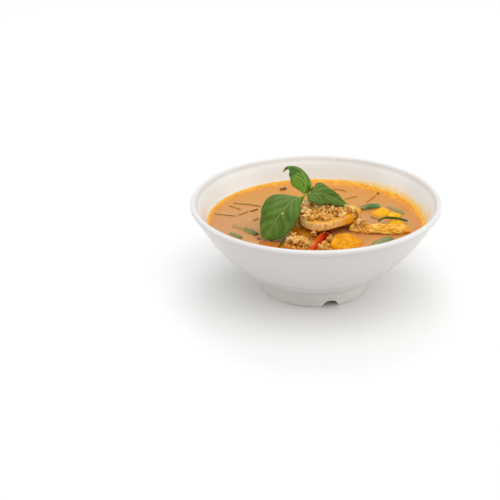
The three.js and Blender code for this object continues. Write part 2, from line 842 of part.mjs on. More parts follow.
addPiece('leaf_top', leafTop, COLOURS.youngLeaf, 0.4);
addPiece('sprig_stem', stemRest, COLOURS.youngLeaf);
addPiece('sprig_bud', budRest, COLOURS.youngLeaf);
for (const [name, solid] of Object.entries(heaps)) addPiece(name, solid, COLOURS.peanut, 0.7);
for (const [name, solid] of Object.entries(shreds)) addPiece(name, solid, COLOURS.shredSunk);
addPiece('shred_arched', archedShred, COLOURS.shred, 0.35);
addPiece('shred_front', frontShred, COLOURS.shred, 0.35);
addPiece('chilli_thread', chilliThread, COLOURS.chilli, 0.35);
for (const [name, solid] of Object.entries(darkBits)) addPiece(name, solid, COLOURS.purple);

export default object;
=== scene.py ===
"""A footed white bowl of panang curry with crushed peanuts and a sprig of basil.

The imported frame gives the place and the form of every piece. Here each one is modelled finely over
its solid and gets its finish. Lengths in the classes of pieces are metres. Patterns and heights in the
finishes are millimetres.
"""

import json
import logging
import math
from collections.abc import Iterator, Sequence
from contextlib import contextmanager
from dataclasses import dataclass, field, replace
from enum import Enum
from random import Random

import bmesh
import bpy
from mathutils import Matrix, Vector, noise
from mathutils.bvhtree import BVHTree


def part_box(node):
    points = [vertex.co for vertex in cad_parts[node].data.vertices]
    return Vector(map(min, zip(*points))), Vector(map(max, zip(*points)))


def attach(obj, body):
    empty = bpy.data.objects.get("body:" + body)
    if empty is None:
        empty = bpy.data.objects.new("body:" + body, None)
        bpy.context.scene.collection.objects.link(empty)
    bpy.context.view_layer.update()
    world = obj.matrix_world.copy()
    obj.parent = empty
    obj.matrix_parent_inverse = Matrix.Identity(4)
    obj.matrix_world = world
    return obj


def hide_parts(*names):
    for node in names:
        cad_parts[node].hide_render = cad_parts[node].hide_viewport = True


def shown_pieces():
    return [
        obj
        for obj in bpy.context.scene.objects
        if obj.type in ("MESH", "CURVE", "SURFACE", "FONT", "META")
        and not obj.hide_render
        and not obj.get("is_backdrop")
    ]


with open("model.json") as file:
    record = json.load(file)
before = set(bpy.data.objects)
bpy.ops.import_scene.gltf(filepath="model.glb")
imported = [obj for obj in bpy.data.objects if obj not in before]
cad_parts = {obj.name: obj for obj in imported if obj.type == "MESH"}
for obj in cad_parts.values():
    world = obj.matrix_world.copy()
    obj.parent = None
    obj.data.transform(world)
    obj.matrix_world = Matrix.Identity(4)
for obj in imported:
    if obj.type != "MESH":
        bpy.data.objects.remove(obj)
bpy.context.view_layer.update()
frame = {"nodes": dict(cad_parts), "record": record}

LOG = logging.getLogger("curry_bowl")
MM = 0.001
CURRY_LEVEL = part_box("curry")[1].z
WELD = 1e-6
BODY = "root"
FINE_VOXEL = 0.28 * MM
SEED_SHIFT = 7.31
SEED_SHIFTS = (3.7, 5.1, 7.9)

Colour = tuple[float, float, float, float]
Socket = bpy.types.NodeSocket
# Where a value starts to change and where it stops, and its values there if they aren't 0 and 1.
Slope = tuple[float, ...]


# ---------------------------------------------------------------- modelling by hand


def alone(piece: bpy.types.Object) -> None:
    """Selects one piece and nothing else.

    Args:
        piece: the piece.
    """
    bpy.ops.object.select_all(action="DESELECT")
    piece.select_set(True)
    bpy.context.view_layer.objects.active = piece


@contextmanager
def editing(piece: bpy.types.Object) -> Iterator[bmesh.types.BMesh]:
    """Edit mode on one piece, with nothing in its mesh selected.

    Args:
        piece: the piece to edit.

    Returns:
        The piece's edit mesh, in which faces and edges can be selected.
    """
    alone(piece)
    bpy.ops.object.mode_set(mode="EDIT")
    bpy.ops.mesh.select_all(action="DESELECT")
    yield bmesh.from_edit_mesh(piece.data)
    bpy.ops.object.mode_set(mode="OBJECT")


def named(name: str) -> bpy.types.Object:
    """Names the primitive that was just added.

    Args:
        name: its new name.

    Returns:
        The primitive.
    """
    piece = bpy.context.active_object
    piece.name = name
    piece.data.name = name
    return piece


def modified(piece: bpy.types.Object, kind: str, **settings: object) -> bpy.types.Object:
    """Adds a modifier to a piece and applies it.

    Args:
        piece: the piece to modify.
        kind: the modifier's type.
        settings: the modifier's own settings.

    Returns:
        The same piece.
    """
    alone(piece)
    modifier = piece.modifiers.new(kind.lower(), kind)
    for key, value in settings.items():
        setattr(modifier, key, value)
    bpy.ops.object.modifier_apply(modifier=modifier.name)
    return piece


def placed(piece: bpy.types.Object) -> bpy.types.Object:
    """Moves a piece's place, turn and scale into its mesh.

    Args:
        piece: the piece.

    Returns:
        The same piece, at the origin.
    """
    alone(piece)
    bpy.ops.object.transform_apply(location=True, rotation=True, scale=True)
    return piece


def refined(node: str, voxel: float = 0.4 * MM, smoothing: int = 6) -> bpy.types.Object:
    """An evenly meshed copy of a CAD node with its facets smoothed away.

    Args:
        node: the CAD node's name.
        voxel: the edge length of the new mesh.
        smoothing: how many times the surface is relaxed.

    Returns:
        The new piece, which lies where the node does.
    """
    mesh = frame["nodes"][node].data.copy()
    mesh.materials.clear()
    piece = bpy.data.objects.new(f"fine_{node}", mesh)
    bpy.context.scene.collection.objects.link(piece)
    with editing(piece):
        bpy.ops.mesh.select_all(action="SELECT")
        bpy.ops.mesh.remove_doubles(threshold=WELD)
    modified(piece, "REMESH", mode="VOXEL", voxel_size=voxel)
    return modified(piece, "SMOOTH", factor=0.5, iterations=smoothing)


@dataclass(frozen=True)
class Relief:
    """A layer of unevenness, pushed out along the surface's normals."""

    depth: float
    size: float
    stretch: tuple[float, float, float] = (1.0, 1.0, 1.0)
    ridged: bool = False
    seed: int = 0

    def at(self, place: Vector) -> float:
        """The height of this layer at a spot.

        Args:
            place: the spot on the surface.

        Returns:
            How far the spot moves outwards.
        """
        offset = SEED_SHIFT * (self.seed + 1)
        spot = Vector([p / (self.size * s) + offset for p, s in zip(place, self.stretch)])
        value = noise.noise(spot)
        return self.depth * (1 - 3 * abs(value) if self.ridged else value)


def roughened(piece: bpy.types.Object, *layers: Relief) -> bpy.types.Object:
    """Moves every vertex of a piece out or in by its layers of relief.

    Args:
        piece: the piece to roughen.
        layers: the layers of relief, which are added up.

    Returns:
        The same piece.
    """
    normals = [vertex.normal.copy() for vertex in piece.data.vertices]
    for vertex, normal in zip(piece.data.vertices, normals):
        vertex.co += normal * sum(layer.at(vertex.co) for layer in layers)
    piece.data.update()
    return piece


def fattened(piece: bpy.types.Object, amount: float) -> bpy.types.Object:
    """Moves a piece's whole surface outwards.

    Args:
        piece: the piece.
        amount: how far, or a negative amount for inwards.

    Returns:
        The same piece.
    """
    with editing(piece):
        bpy.ops.mesh.select_all(action="SELECT")
        bpy.ops.transform.shrink_fatten(value=amount)
    return piece


def settled(
    piece: bpy.types.Object, material: bpy.types.Material, slot: str, *nodes: str
) -> bpy.types.Object:
    """Dresses a finished piece and hangs it on the frame.

    Args:
        piece: the finished piece.
        material: its finish.
        slot: the material slot's name; not used.
        nodes: the CAD nodes that it stands for.

    Returns:
        The same piece.
    """
    piece.data.materials.clear()
    piece.data.materials.append(material)
    piece.data.shade_smooth()
    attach(piece, BODY)
    if nodes:
        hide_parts(*nodes)
    return piece


def surface_of(nodes: Sequence[str]) -> BVHTree:
    """The surfaces of several CAD nodes as one, to measure distances from.

    Args:
        nodes: the CAD nodes' names.

    Returns:
        The surfaces.
    """
    corners: list[Vector] = []
    faces: list[tuple[int, ...]] = []
    for node in nodes:
        mesh = frame["nodes"][node].data
        start = len(corners)
        corners.extend(vertex.co.copy() for vertex in mesh.vertices)
        faces.extend(tuple(start + i for i in face.vertices) for face in mesh.polygons)
    return BVHTree.FromPolygons(corners, faces)


def spun(name: str, profile: Sequence[Vector], steps: int) -> bpy.types.Object:
    """Extrudes one vertex along a profile and spins it round the z axis.

    Args:
        name: the piece's name.
        profile: points with x as the radius, from the axis round and back to the axis.
        steps: how many steps make the full turn.

    Returns:
        The closed solid of revolution.
    """
    bpy.ops.mesh.primitive_plane_add(size=MM, location=profile[0])
    piece = placed(named(name))
    with editing(piece):
        bpy.ops.mesh.select_all(action="SELECT")
        bpy.ops.mesh.merge(type="CENTER")
        for start, end in zip(profile, profile[1:]):
            bpy.ops.mesh.extrude_region_move(TRANSFORM_OT_translate={"value": end - start})
        bpy.ops.mesh.select_all(action="SELECT")
        bpy.ops.mesh.spin(steps=steps, angle=math.tau, center=(0, 0, 0), axis=(0, 0, 1))
        bpy.ops.mesh.select_all(action="SELECT")
        bpy.ops.mesh.remove_doubles(threshold=WELD)
        bpy.ops.mesh.normals_make_consistent(inside=False)
    return piece


def softened(points: Sequence[Vector], passes: int = 2) -> list[Vector]:
    """Cuts the corners of a profile, again and again, and keeps its two ends.

    Args:
        points: the profile's corners.
        passes: how often its corners are cut.

    Returns:
        The rounder profile.
    """
    rounder = list(points)
    for _ in range(passes):
        cut = [rounder[0]]
        for start, end in zip(rounder, rounder[1:]):
            cut += [start.lerp(end, 0.25), start.lerp(end, 0.75)]
        rounder = [*cut, rounder[-1]]
    return rounder


@dataclass(frozen=True)
class Path:
    """A smooth curve through a few points, as even as their distances allow."""

    points: tuple[Vector, ...]

    def at(self, t: float) -> Vector:
        """The point at a share of the way.

        Args:
            t: the share, from 0 at the first point to 1 at the last.

        Returns:
            The point.
        """
        last = len(self.points) - 1
        span = min(int(t * last), last - 1)
        u = t * last - span
        p1, p2 = self.points[span], self.points[span + 1]
        p0 = self.points[span - 1] if span > 0 else 2 * p1 - p2
        p3 = self.points[span + 2] if span + 2 <= last else 2 * p2 - p1
        d0, d1, d2 = (math.sqrt((b - a).length) for a, b in ((p0, p1), (p1, p2), (p2, p3)))
        leave = d1 * ((p1 - p0) / d0 - (p2 - p0) / (d0 + d1) + (p2 - p1) / d1)
        arrive = d1 * ((p2 - p1) / d1 - (p3 - p1) / (d1 + d2) + (p3 - p2) / d2)
        return (
            p1 + leave * u + (3 * (p2 - p1) - 2 * leave - arrive) * u**2
            + (2 * (p1 - p2) + leave + arrive) * u**3
        )

    def tangent(self, t: float) -> Vector:
        """The direction of the curve at t."""
        step = 0.01
        return (self.at(min(t + step, 1.0)) - self.at(max(t - step, 0.0))).normalized()


def smoothly(values: Sequence[float], share: float) -> float:
    """A value that runs smoothly through given ones.

    Args:
        values: the values, at equal steps from 0 to 1.
        share: where to read the value, from 0 to 1.

    Returns:
        The value there.
    """
    last = len(values) - 1
    span = min(int(share * last), last - 1)
    u = share * last - span
    p0, p1, p2, p3 = (values[min(max(span + k, 0), last)] for k in (-1, 0, 1, 2))
    return 0.5 * (
        2 * p1 + (p2 - p0) * u + (2 * p0 - 5 * p1 + 4 * p2 - p3) * u**2
        + (3 * p1 - p0 - 3 * p2 + p3) * u**3
    )


def points_mm(*places: tuple[float, float, float]) -> tuple[Vector, ...]:
    """Places in millimetres as points in metres."""
    return tuple(Vector(place) * MM for place in places)


# ---------------------------------------------------------------- finishes


def srgb(red: int, green: int, blue: int) -> Colour:
    """A screen colour as the linear colour that a shader takes.

    Args:
        red: its red, from 0 to 255.
        green: its green, from 0 to 255.
        blue: its blue, from 0 to 255.

    Returns:
        The linear colour, opaque.
    """
    linear = [
        c / 12.92 if c <= 0.04045 else ((c + 0.055) / 1.055) ** 2.4
        for c in (red / 255, green / 255, blue / 255)
    ]
    return (linear[0], linear[1], linear[2], 1.0)


class Graph:
    """A material under way: one Principled shader, and patterns sized in millimetres."""

    def __init__(self, name: str, **uniform: object) -> None:
        """Starts a material.

        Args:
            name: the material's name.
            uniform: values that are the same all over, by the shader socket's name.
        """
        self.material = bpy.data.materials.new(name)
        self.material.use_nodes = True
        self.tree = self.material.node_tree
        self.shader = self.tree.nodes["Principled BSDF"]
        for key, value in uniform.items():
            self.shader.inputs[key.replace("_", " ").title().replace("Ior", "IOR")].default_value = value
        place = self.add("ShaderNodeTexCoord").outputs["Object"]
        scale = self.add("ShaderNodeVectorMath", operation="SCALE")
        scale.inputs["Scale"].default_value = 1 / MM
        self.tree.links.new(place, scale.inputs[0])
        self.place = scale.outputs["Vector"]
        split = self.add("ShaderNodeSeparateXYZ")
        self.tree.links.new(self.place, split.inputs[0])
        self.x, self.y, self.z = split.outputs

    def add(self, kind: str, **settings: object) -> bpy.types.Node:
        """Adds a node.

        Args:
            kind: the node's type.
            settings: the node's own settings.

        Returns:
            The node.
        """
        node = self.tree.nodes.new(kind)
        for key, value in settings.items():
            setattr(node, key, value)
        return node

    def feed(self, socket: Socket, value: object) -> None:
        """Links a socket to another one, or sets its value.

        Args:
            socket: the socket to feed.
            value: the other socket, or the value.
        """
        if isinstance(value, bpy.types.NodeSocket):
            self.tree.links.new(value, socket)
        else:
            socket.default_value = value

    def spread(self, size: float, stretch: Sequence[float], seed: float) -> Socket:
        """The object's own space, scaled to a pattern.

        Args:
            size: how many millimetres a pattern of size 1 takes.
            stretch: how much longer it is along each axis.
            seed: moves the pattern.

        Returns:
            The scaled place.
        """
        mapping = self.add("ShaderNodeMapping", vector_type="POINT")
        mapping.inputs["Location"].default_value = [shift * seed for shift in SEED_SHIFTS]
        mapping.inputs["Scale"].default_value = [1 / (size * s) for s in stretch]
        self.tree.links.new(self.place, mapping.inputs["Vector"])
        return mapping.outputs["Vector"]

    def clouds(
        self,
        size: float,
        detail: float = 3.0,
        roughness: float = 0.55,
        stretch: Sequence[float] = (1, 1, 1),
        seed: float = 0.0,
        distortion: float = 0.0,
    ) -> Socket:
        """A soft random pattern.

        Args:
            size: how large its blobs are, in millimetres.
            detail: how many finer layers it has.
            roughness: how strong the finer layers are.
            stretch: how much longer the blobs are along each axis.
            seed: moves the pattern.
            distortion: how much it swirls.

        Returns:
            The pattern, from 0 to 1.
        """
        pattern = self.add("ShaderNodeTexNoise")
        pattern.inputs["Scale"].default_value = 1.0
        pattern.inputs["Detail"].default_value = detail
        pattern.inputs["Roughness"].default_value = roughness
        pattern.inputs["Distortion"].default_value = distortion
        self.tree.links.new(self.spread(size, stretch, seed), pattern.inputs["Vector"])
        return pattern.outputs["Fac"]

    def cells(self, size: float, seed: float = 0.0, feature: str = "F1") -> Socket:
        """A pattern of cells.

        Args:
            size: how large the cells are, in millimetres.
            seed: moves the pattern.
            feature: what the pattern measures the distance from, a cell's centre or its edge.

        Returns:
            The distance.
        """
        pattern = self.add("ShaderNodeTexVoronoi", feature=feature)
        pattern.inputs["Scale"].default_value = 1.0
        self.tree.links.new(self.spread(size, (1, 1, 1), seed), pattern.inputs["Vector"])
        return pattern.outputs["Distance"]

    def sum(self, operation: str, a: object, b: object = 0.0) -> Socket:
        """One step of arithmetic.

        Args:
            operation: what is done.
            a: the first socket or number.
            b: the second one.

        Returns:
            The result.
        """
        node = self.add("ShaderNodeMath", operation=operation)
        self.feed(node.inputs[0], a)
        self.feed(node.inputs[1], b)
        return node.outputs[0]

    def slope(
        self, value: Socket, start: object, end: object, low: float = 0.0, high: float = 1.0
    ) -> Socket:
        """Eases a value from low to high, and holds it outside.

        Args:
            value: the value that decides.
            start: where the result is low.
            end: where the result is high.
            low: the result at the start.
            high: the result at the end.

        Returns:
            The eased value.
        """
        node = self.add("ShaderNodeMapRange", interpolation_type="SMOOTHSTEP", clamp=True)
        for i, given in enumerate((value, start, end, low, high)):
            self.feed(node.inputs[i], given)
        return node.outputs[0]

    def blend(self, share: object, a: object, b: object) -> Socket:
        """Mixes two colours.

        Args:
            share: the share of the second colour.
            a: the first colour.
            b: the second colour.

        Returns:
            The mixed colour.
        """
        node = self.add("ShaderNodeMix", data_type="RGBA", clamp_factor=True)
        self.feed(node.inputs[0], share)
        self.feed(node.inputs[6], a)
        self.feed(node.inputs[7], b)
        return node.outputs[2]

    def ramp(self, share: Socket, *stops: tuple[float, Colour]) -> Socket:
        """Turns a value into a colour.

        Args:
            share: the value.
            stops: the value and the colour of each stop.

        Returns:
            The colour.
        """
        node = self.add("ShaderNodeValToRGB")
        elements = node.color_ramp.elements
        for position, _ in stops[2:]:
            elements.new(position)
        for element, (position, colour) in zip(elements, stops):
            element.position = position
            element.color = colour
        self.tree.links.new(share, node.inputs[0])
        return node.outputs["Color"]

    def attribute(self, name: str) -> Socket:
        """A value that the piece's mesh carries."""
        return self.add("ShaderNodeAttribute", attribute_name=name).outputs["Fac"]

    def bumped(self, *heights: tuple[Socket, float]) -> None:
        """Makes the surface uneven.

        Args:
            heights: patterns, each with its depth in millimetres.
        """
        normal = None
        for height, depth in heights:
            node = self.add("ShaderNodeBump")
            node.inputs["Strength"].default_value = 1.0
            node.inputs["Distance"].default_value = depth * MM
            self.tree.links.new(height, node.inputs["Height"])
            if normal is not None:
                self.tree.links.new(normal, node.inputs["Normal"])
            normal = node.outputs["Normal"]
        self.tree.links.new(normal, self.shader.inputs["Normal"])

    def done(self, colour: Socket, roughness: object = None) -> bpy.types.Material:
        """Finishes the material.

        Args:
            colour: its colour.
            roughness: its roughness, or nothing to keep the shader's own.

        Returns:
            The material.
        """
        self.feed(self.shader.inputs["Base Color"], colour)
        if roughness is not None:
            self.feed(self.shader.inputs["Roughness"], roughness)
        return self.material


@dataclass(frozen=True)
class GlazedWhite:
    """Smooth white melamine, with a haze of the curry's oil on the inside wall above the curry. Its outside
    carries painted light and shade: a darker white as shade on the outer wall, and lighter whites as
    painted light on the top of the rim and on the foot.
    """

    inner: Colour = srgb(240, 243, 240)
    # rim, outer and foot are painted light and shade on one white: outer is darker as painted shade, and
    # rim and foot are lighter as painted light.
    rim: Colour = srgb(230, 229, 227)
    outer: Colour = srgb(216, 212, 210)
    foot: Colour = srgb(231, 226, 220)
    thin_oil: Colour = srgb(254, 243, 214)
    thick_oil: Colour = srgb(251, 218, 138)
    rim_highlight_band: Slope = (-2.6, -0.6)
    lit_foot_band: Slope = (9.0, 15.0, 1.0, 0.0)
    haze_reach: Slope = (5.0, 72.0, 2.2, 8.5)
    haze_fade: Slope = (0.25, 1.0, 1.0, 0.0)
    haze_edge: Slope = (0.3, 1.1)
    haze_top: Slope = (0.0, 0.25)
    fleck_size: float = 0.9
    fleck_share: float = 1.5
    patch_size: float = 6.0
    patch_share: float = 0.9
    wipe_size: float = 40.0
    wipe: Slope = (0.3, 0.8, 0.2, 0.26)

    def made(self) -> bpy.types.Material:
        """Makes the material. The mesh's value "inside" says where the inner wall is.

        Returns:
            The material.
        """
        g = Graph("bowl_white", specular_ior_level=0.5)
        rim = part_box("bowl")[1].z / MM
        # Painted light and shade: the outer wall is darker as shade, and the top of the rim and the foot
        # are lighter as light.
        outside = g.blend(g.slope(g.z, *(rim + band for band in self.rim_highlight_band)), self.outer, self.rim)
        outside = g.blend(g.slope(g.z, *self.lit_foot_band), outside, self.foot)
        white = g.blend(g.attribute("inside"), outside, self.inner)
        reach = g.slope(g.x, *self.haze_reach)
        height = g.sum("DIVIDE", g.sum("SUBTRACT", g.z, CURRY_LEVEL / MM), reach)
        fade = g.slope(height, *self.haze_fade)
        flecks = g.sum("SUBTRACT", g.clouds(self.fleck_size, 3.0, 0.75, (1, 1, 1.6), 4.0), 0.5)
        flecks = g.sum("MULTIPLY", flecks, self.fleck_share)
        patches = g.sum("SUBTRACT", g.clouds(self.patch_size, 3.0, 0.6, seed=2.0), 0.5)
        patches = g.sum("MULTIPLY", patches, self.patch_share)
        wet = g.slope(g.sum("ADD", fade, g.sum("ADD", flecks, patches)), *self.haze_edge)
        wet = g.sum("MULTIPLY", wet, g.slope(fade, *self.haze_top))
        wet = g.sum("MULTIPLY", wet, g.attribute("inside"))
        oil = g.ramp(wet, (0.3, self.thin_oil), (0.95, self.thick_oil))
        g.bumped((wet, 0.06))
        wiped = g.clouds(self.wipe_size, 2.0, seed=7.0)
        return g.done(g.blend(wet, white, oil), g.slope(wiped, *self.wipe))


@dataclass(frozen=True)
class CurrySauce:
    """Thick coconut curry: grainy tan orange, with orange oil in a ring along the wall."""

    tan: Colour = srgb(205, 143, 78)
    orange: Colour = srgb(214, 146, 48)
    rosy: Colour = srgb(206, 149, 96)
    amber: Colour = srgb(214, 132, 34)
    speck: Colour = srgb(176, 100, 34)
    cream: Colour = srgb(240, 200, 150)
    oil: Colour = srgb(254, 187, 22)
    deep_oil: Colour = srgb(228, 136, 10)
    wall_radius: float = 82.2
    glow: float = 0.12
    ring_by_side: Slope = (-80.0, 30.0, 0.6, 1.25)
    ring_by_depth: Slope = (-20.0, 75.0, 2.6, 7.4)
    ring_wander: float = 2.2
    ring_fade: Slope = (0.1, 1.5, 1.0, 0.0)
    clear_line: Slope = (0.7, 1.9, 1.0, 0.0)
    bead_size: float = 1.3
    bead_edge: Slope = (0.08, 0.36)
    bead_reach: Slope = (0.8, 4.0, 1.0, 0.0)
    towards_back: Slope = (-20.0, 70.0)
    towards_left: Slope = (0.0, -70.0)
    amber_fade: Slope = (0.9, 3.6, 0.6, 0.0)
    speckle: Slope = (0.5, 0.72, 0.0, 0.3)
    grain_size: float = 1.5
    dark_grain: Slope = (0.54, 0.74, 0.0, 0.75)
    light_grain: Slope = (0.46, 0.28, 0.0, 0.75)
    oil_share: float = 0.85
    sheen: Slope = (0.0, 1.0, 0.38, 0.2)

    def made(self) -> bpy.types.Material:
        """Makes the material. Its ring of oil is widest at the back and the right.

        Returns:
            The material.
        """
        g = Graph(
            "curry_sauce", subsurface_weight=self.glow, subsurface_scale=1.2 * MM, specular_ior_level=0.3
        )
        flat = g.add("ShaderNodeCombineXYZ")
        g.feed(flat.inputs[0], g.x)
        g.feed(flat.inputs[1], g.y)
        length = g.add("ShaderNodeVectorMath", operation="LENGTH")
        g.feed(length.inputs[0], flat.outputs[0])
        width = g.sum("MULTIPLY", g.slope(g.x, *self.ring_by_side), g.slope(g.y, *self.ring_by_depth))
        ragged = g.sum("SUBTRACT", g.clouds(5.0, 5.0, 0.7, seed=2.0), 0.5)
        wander = g.sum("MULTIPLY", g.sum("MULTIPLY", ragged, width), self.ring_wander)
        from_wall = g.sum("SUBTRACT", self.wall_radius, length.outputs["Value"])
        from_wall = g.sum("SUBTRACT", from_wall, wander)
        share = g.sum("DIVIDE", from_wall, width)
        ring = g.slope(share, *self.ring_fade)
        beads = g.sum("SUBTRACT", 1.0, g.slope(g.cells(self.bead_size, 3.0), *self.bead_edge))
        beads = g.sum("MULTIPLY", beads, g.slope(g.clouds(6.0, 3.0, seed=9.0), 0.42, 0.62))
        beads = g.sum("MULTIPLY", beads, g.slope(share, *self.bead_reach))
        broad = g.slope(g.clouds(26.0, 3.0, seed=5.0), 0.34, 0.66)
        left = g.slope(g.x, *self.towards_left)
        body = g.blend(broad, self.tan, g.blend(left, self.tan, self.rosy))
        body = g.blend(g.sum("MULTIPLY", g.slope(g.y, *self.towards_back), 0.9), body, self.orange)
        body = g.blend(g.slope(share, *self.amber_fade), body, self.amber)
        body = g.blend(g.slope(g.clouds(4.0, 4.0, 0.7, seed=11.0), *self.speckle), body, self.speck)
        grain = g.clouds(self.grain_size, 4.0, 0.8, seed=1.0)
        body = g.blend(g.slope(grain, *self.dark_grain), body, self.speck)
        body = g.blend(g.slope(grain, *self.light_grain), body, self.cream)
        wet = g.sum("MAXIMUM", ring, g.sum("MULTIPLY", beads, 0.7))
        inside_line = g.sum("SUBTRACT", 1.0, g.slope(from_wall, *self.clear_line))
        deep = g.sum("MULTIPLY", g.slope(g.clouds(2.6, 4.0, seed=6.0), 0.3, 0.6), inside_line)
        oil = g.blend(deep, self.oil, self.deep_oil)
        g.bumped((g.clouds(9.0, 3.0, seed=8.0), 0.25), (grain, 0.12), (wet, 0.08))
        colour = g.blend(g.sum("MULTIPLY", wet, self.oil_share), body, oil)
        return g.done(colour, g.slope(wet, *self.sheen))


@dataclass(frozen=True)
class WetFlesh:
    """Cut, stewed flesh: mottled, with fibres one way and a film of curry near the curry's surface."""

    name: str
    light: Colour
    middle: Colour
    dark: Colour
    size: float = 5.0
    stretch: tuple[float, float, float] = (1.0, 1.0, 1.0)
    fibre: float = 0.12
    film_start: float = 0.2
    film_rise: float = 1.6
    film_share: float = 0.9
    film_waver: float = 2.4
    film: Colour = srgb(206, 128, 52)
    roughness: float = 0.32
    glow: float = 0.12

    def made(self) -> bpy.types.Material:
        """Makes the material.

        Returns:
            The material.
        """
        g = Graph(self.name, subsurface_weight=self.glow, subsurface_scale=2 * MM, specular_ior_level=0.12)
        g.shader.inputs["Subsurface Radius"].default_value = (1.0, 0.5, 0.2)
        mottle = g.clouds(self.size, 4.0, 0.6, self.stretch, 3.0, 0.4)
        fibres = g.clouds(0.22 * self.size, 4.0, 0.7, self.stretch, 8.0)
        mixed = g.sum("ADD", g.sum("MULTIPLY", mottle, 0.7), g.sum("MULTIPLY", fibres, 0.3))
        flesh = g.ramp(mixed, (0.36, self.dark), (0.5, self.middle), (0.64, self.light))
        uneven = g.sum("MULTIPLY", g.sum("SUBTRACT", g.clouds(1.8, 3.0, seed=5.0), 0.5), self.film_waver)
        height = g.sum("SUBTRACT", g.sum("ADD", g.z, uneven), CURRY_LEVEL / MM)
        film = g.slope(height, self.film_start, self.film_rise, self.film_share, 0.0)
        g.bumped((fibres, self.fibre), (mottle, self.fibre))
        sheen = g.slope(mottle, 0.3, 0.7, self.roughness, 0.6 * self.roughness)
        return g.done(g.blend(film, flesh, self.film), sheen)


@dataclass(frozen=True)
class StainedSlice:
    """A pale cut slice: cream flesh with golden stains down its side, and golden rims."""

    cream: Colour = srgb(246, 220, 158)
    buff: Colour = srgb(238, 198, 126)
    gold: Colour = srgb(238, 164, 12)
    deep: Colour = srgb(220, 136, 2)
    stain: Slope = (0.48, 0.58, 0.0, 0.8)
    top_rim: Slope = (-0.9, 0.1)
    low_rim: Slope = (1.6, 0.3)
    rim_waver: float = 2.2
    rim_share: float = 0.9
    golden_end: Slope = (12.0, 24.0)

    def made(self) -> bpy.types.Material:
        """Makes the material.

        Returns:
            The material.
        """
        g = Graph("pale_flesh", subsurface_weight=0.2, subsurface_scale=2 * MM, specular_ior_level=0.3)
        low, high = (corner.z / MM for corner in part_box("pale_slice"))
        flesh = g.blend(g.slope(g.clouds(3.0, 3.0, seed=1.0), 0.35, 0.65), self.cream, self.buff)
        streaks = g.clouds(2.2, 3.0, 0.65, (1, 1, 3.4), 3.0)
        ragged = g.sum("MULTIPLY", g.sum("SUBTRACT", g.clouds(2.4, 3.0, seed=6.0), 0.5), self.rim_waver)
        height = g.sum("ADD", g.z, ragged)
        top = g.slope(height, *(high + rise for rise in self.top_rim))
        bottom = g.slope(height, *(low + rise for rise in self.low_rim))
        rims = g.sum("MULTIPLY", g.sum("MAXIMUM", top, bottom), self.rim_share)
        gold = g.sum("MAXIMUM", g.slope(streaks, *self.stain), rims)
        gold = g.sum("MAXIMUM", gold, g.slope(g.x, *self.golden_end))
        tint = g.blend(g.slope(streaks, 0.58, 0.74), self.gold, self.deep)
        g.bumped((streaks, 0.12), (g.clouds(0.7, 3.0, seed=5.0), 0.06))
        return g.done(g.blend(gold, flesh, tint), g.slope(streaks, 0.3, 0.7, 0.4, 0.26))


@dataclass(frozen=True)
class PepperSkin:
    """Red pepper: bright skin along one side, and orange flesh on the other, with a painted shadow that
    darkens its right end under the slice.
    """

    red: Colour = srgb(184, 20, 0)
    orange: Colour = srgb(204, 88, 0)
    # deep is a painted shadow: the strip darkens to it at its right end, where it runs under the slice.
    deep: Colour = srgb(104, 18, 0)
    flesh_end: float = 0.4
    skin_start: float = 0.66
    shaded_end: Slope = (-9.0, -2.5)

    def made(self) -> bpy.types.Material:
        """Makes the material. The mesh's value "across" runs from the flesh to the skin.

        Returns:
            The material.
        """
        g = Graph("pepper_flesh", subsurface_weight=0.1, subsurface_scale=MM, specular_ior_level=0.07)
        across = g.sum("ADD", g.attribute("across"), g.sum("MULTIPLY", g.clouds(3.0, 3.0, seed=2.0), 0.2))
        colour = g.ramp(across, (self.flesh_end, self.orange), (self.skin_start, self.red))
        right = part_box("pepper_strip")[1].x / MM
        # Painted shadow: the right end of the strip, under the slice, is darkened towards the deep red.
        shade = g.slope(g.x, *(right + way for way in self.shaded_end))
        g.bumped((g.clouds(1.2, 3.0), 0.06))
        return g.done(g.blend(shade, colour, self.deep), 0.42)


@dataclass(frozen=True)
class BeanSkin:
    """Green bean skin, with curry in patches on it."""

    name: str
    skin: Colour
    shade: Colour
    tip: Colour
    cover: float
    bare_end: float = 0.0
    film: Colour = srgb(198, 144, 92)
    tip_start: Slope = (0.62, 0.95)
    film_edge: Slope = (0.0, 0.12, 0.0, 0.85)
    waterline: Slope = (0.25, 0.9, 0.85, 0.0)

    def made(self) -> bpy.types.Material:
        """Makes the material.

        A cover of 0 leaves the skin bare, and 1 hides it all over. A bare end of 1 keeps the curry off
        one end. The mesh's value "along" runs from the bean's left end to its right end.

        Returns:
            The material.
        """
        g = Graph(self.name, subsurface_weight=0.12, subsurface_scale=1.2 * MM, specular_ior_level=0.3)
        skin = g.blend(g.slope(g.clouds(2.6, 4.0, 0.65, seed=4.0), 0.35, 0.65), self.skin, self.shade)
        skin = g.blend(g.slope(g.attribute("along"), *self.tip_start), skin, self.tip)
        patches = g.clouds(1.4, 4.0, 0.75, seed=6.0)
        fade = g.slope(g.attribute("along"), 0.0, 1.0, 1.0 + 0.4 * self.bare_end, 1.0 - self.bare_end)
        limit = g.sum("SUBTRACT", 0.78, g.sum("MULTIPLY", fade, 0.56 * self.cover))
        film = g.slope(g.sum("SUBTRACT", patches, limit), *self.film_edge)
        edge = g.slope(g.sum("SUBTRACT", g.z, CURRY_LEVEL / MM), *self.waterline)
        g.bumped((patches, 0.1), (g.clouds(0.6, 2.0), 0.04))
        return g.done(g.blend(g.sum("MAXIMUM", film, edge), skin, self.film), 0.34)


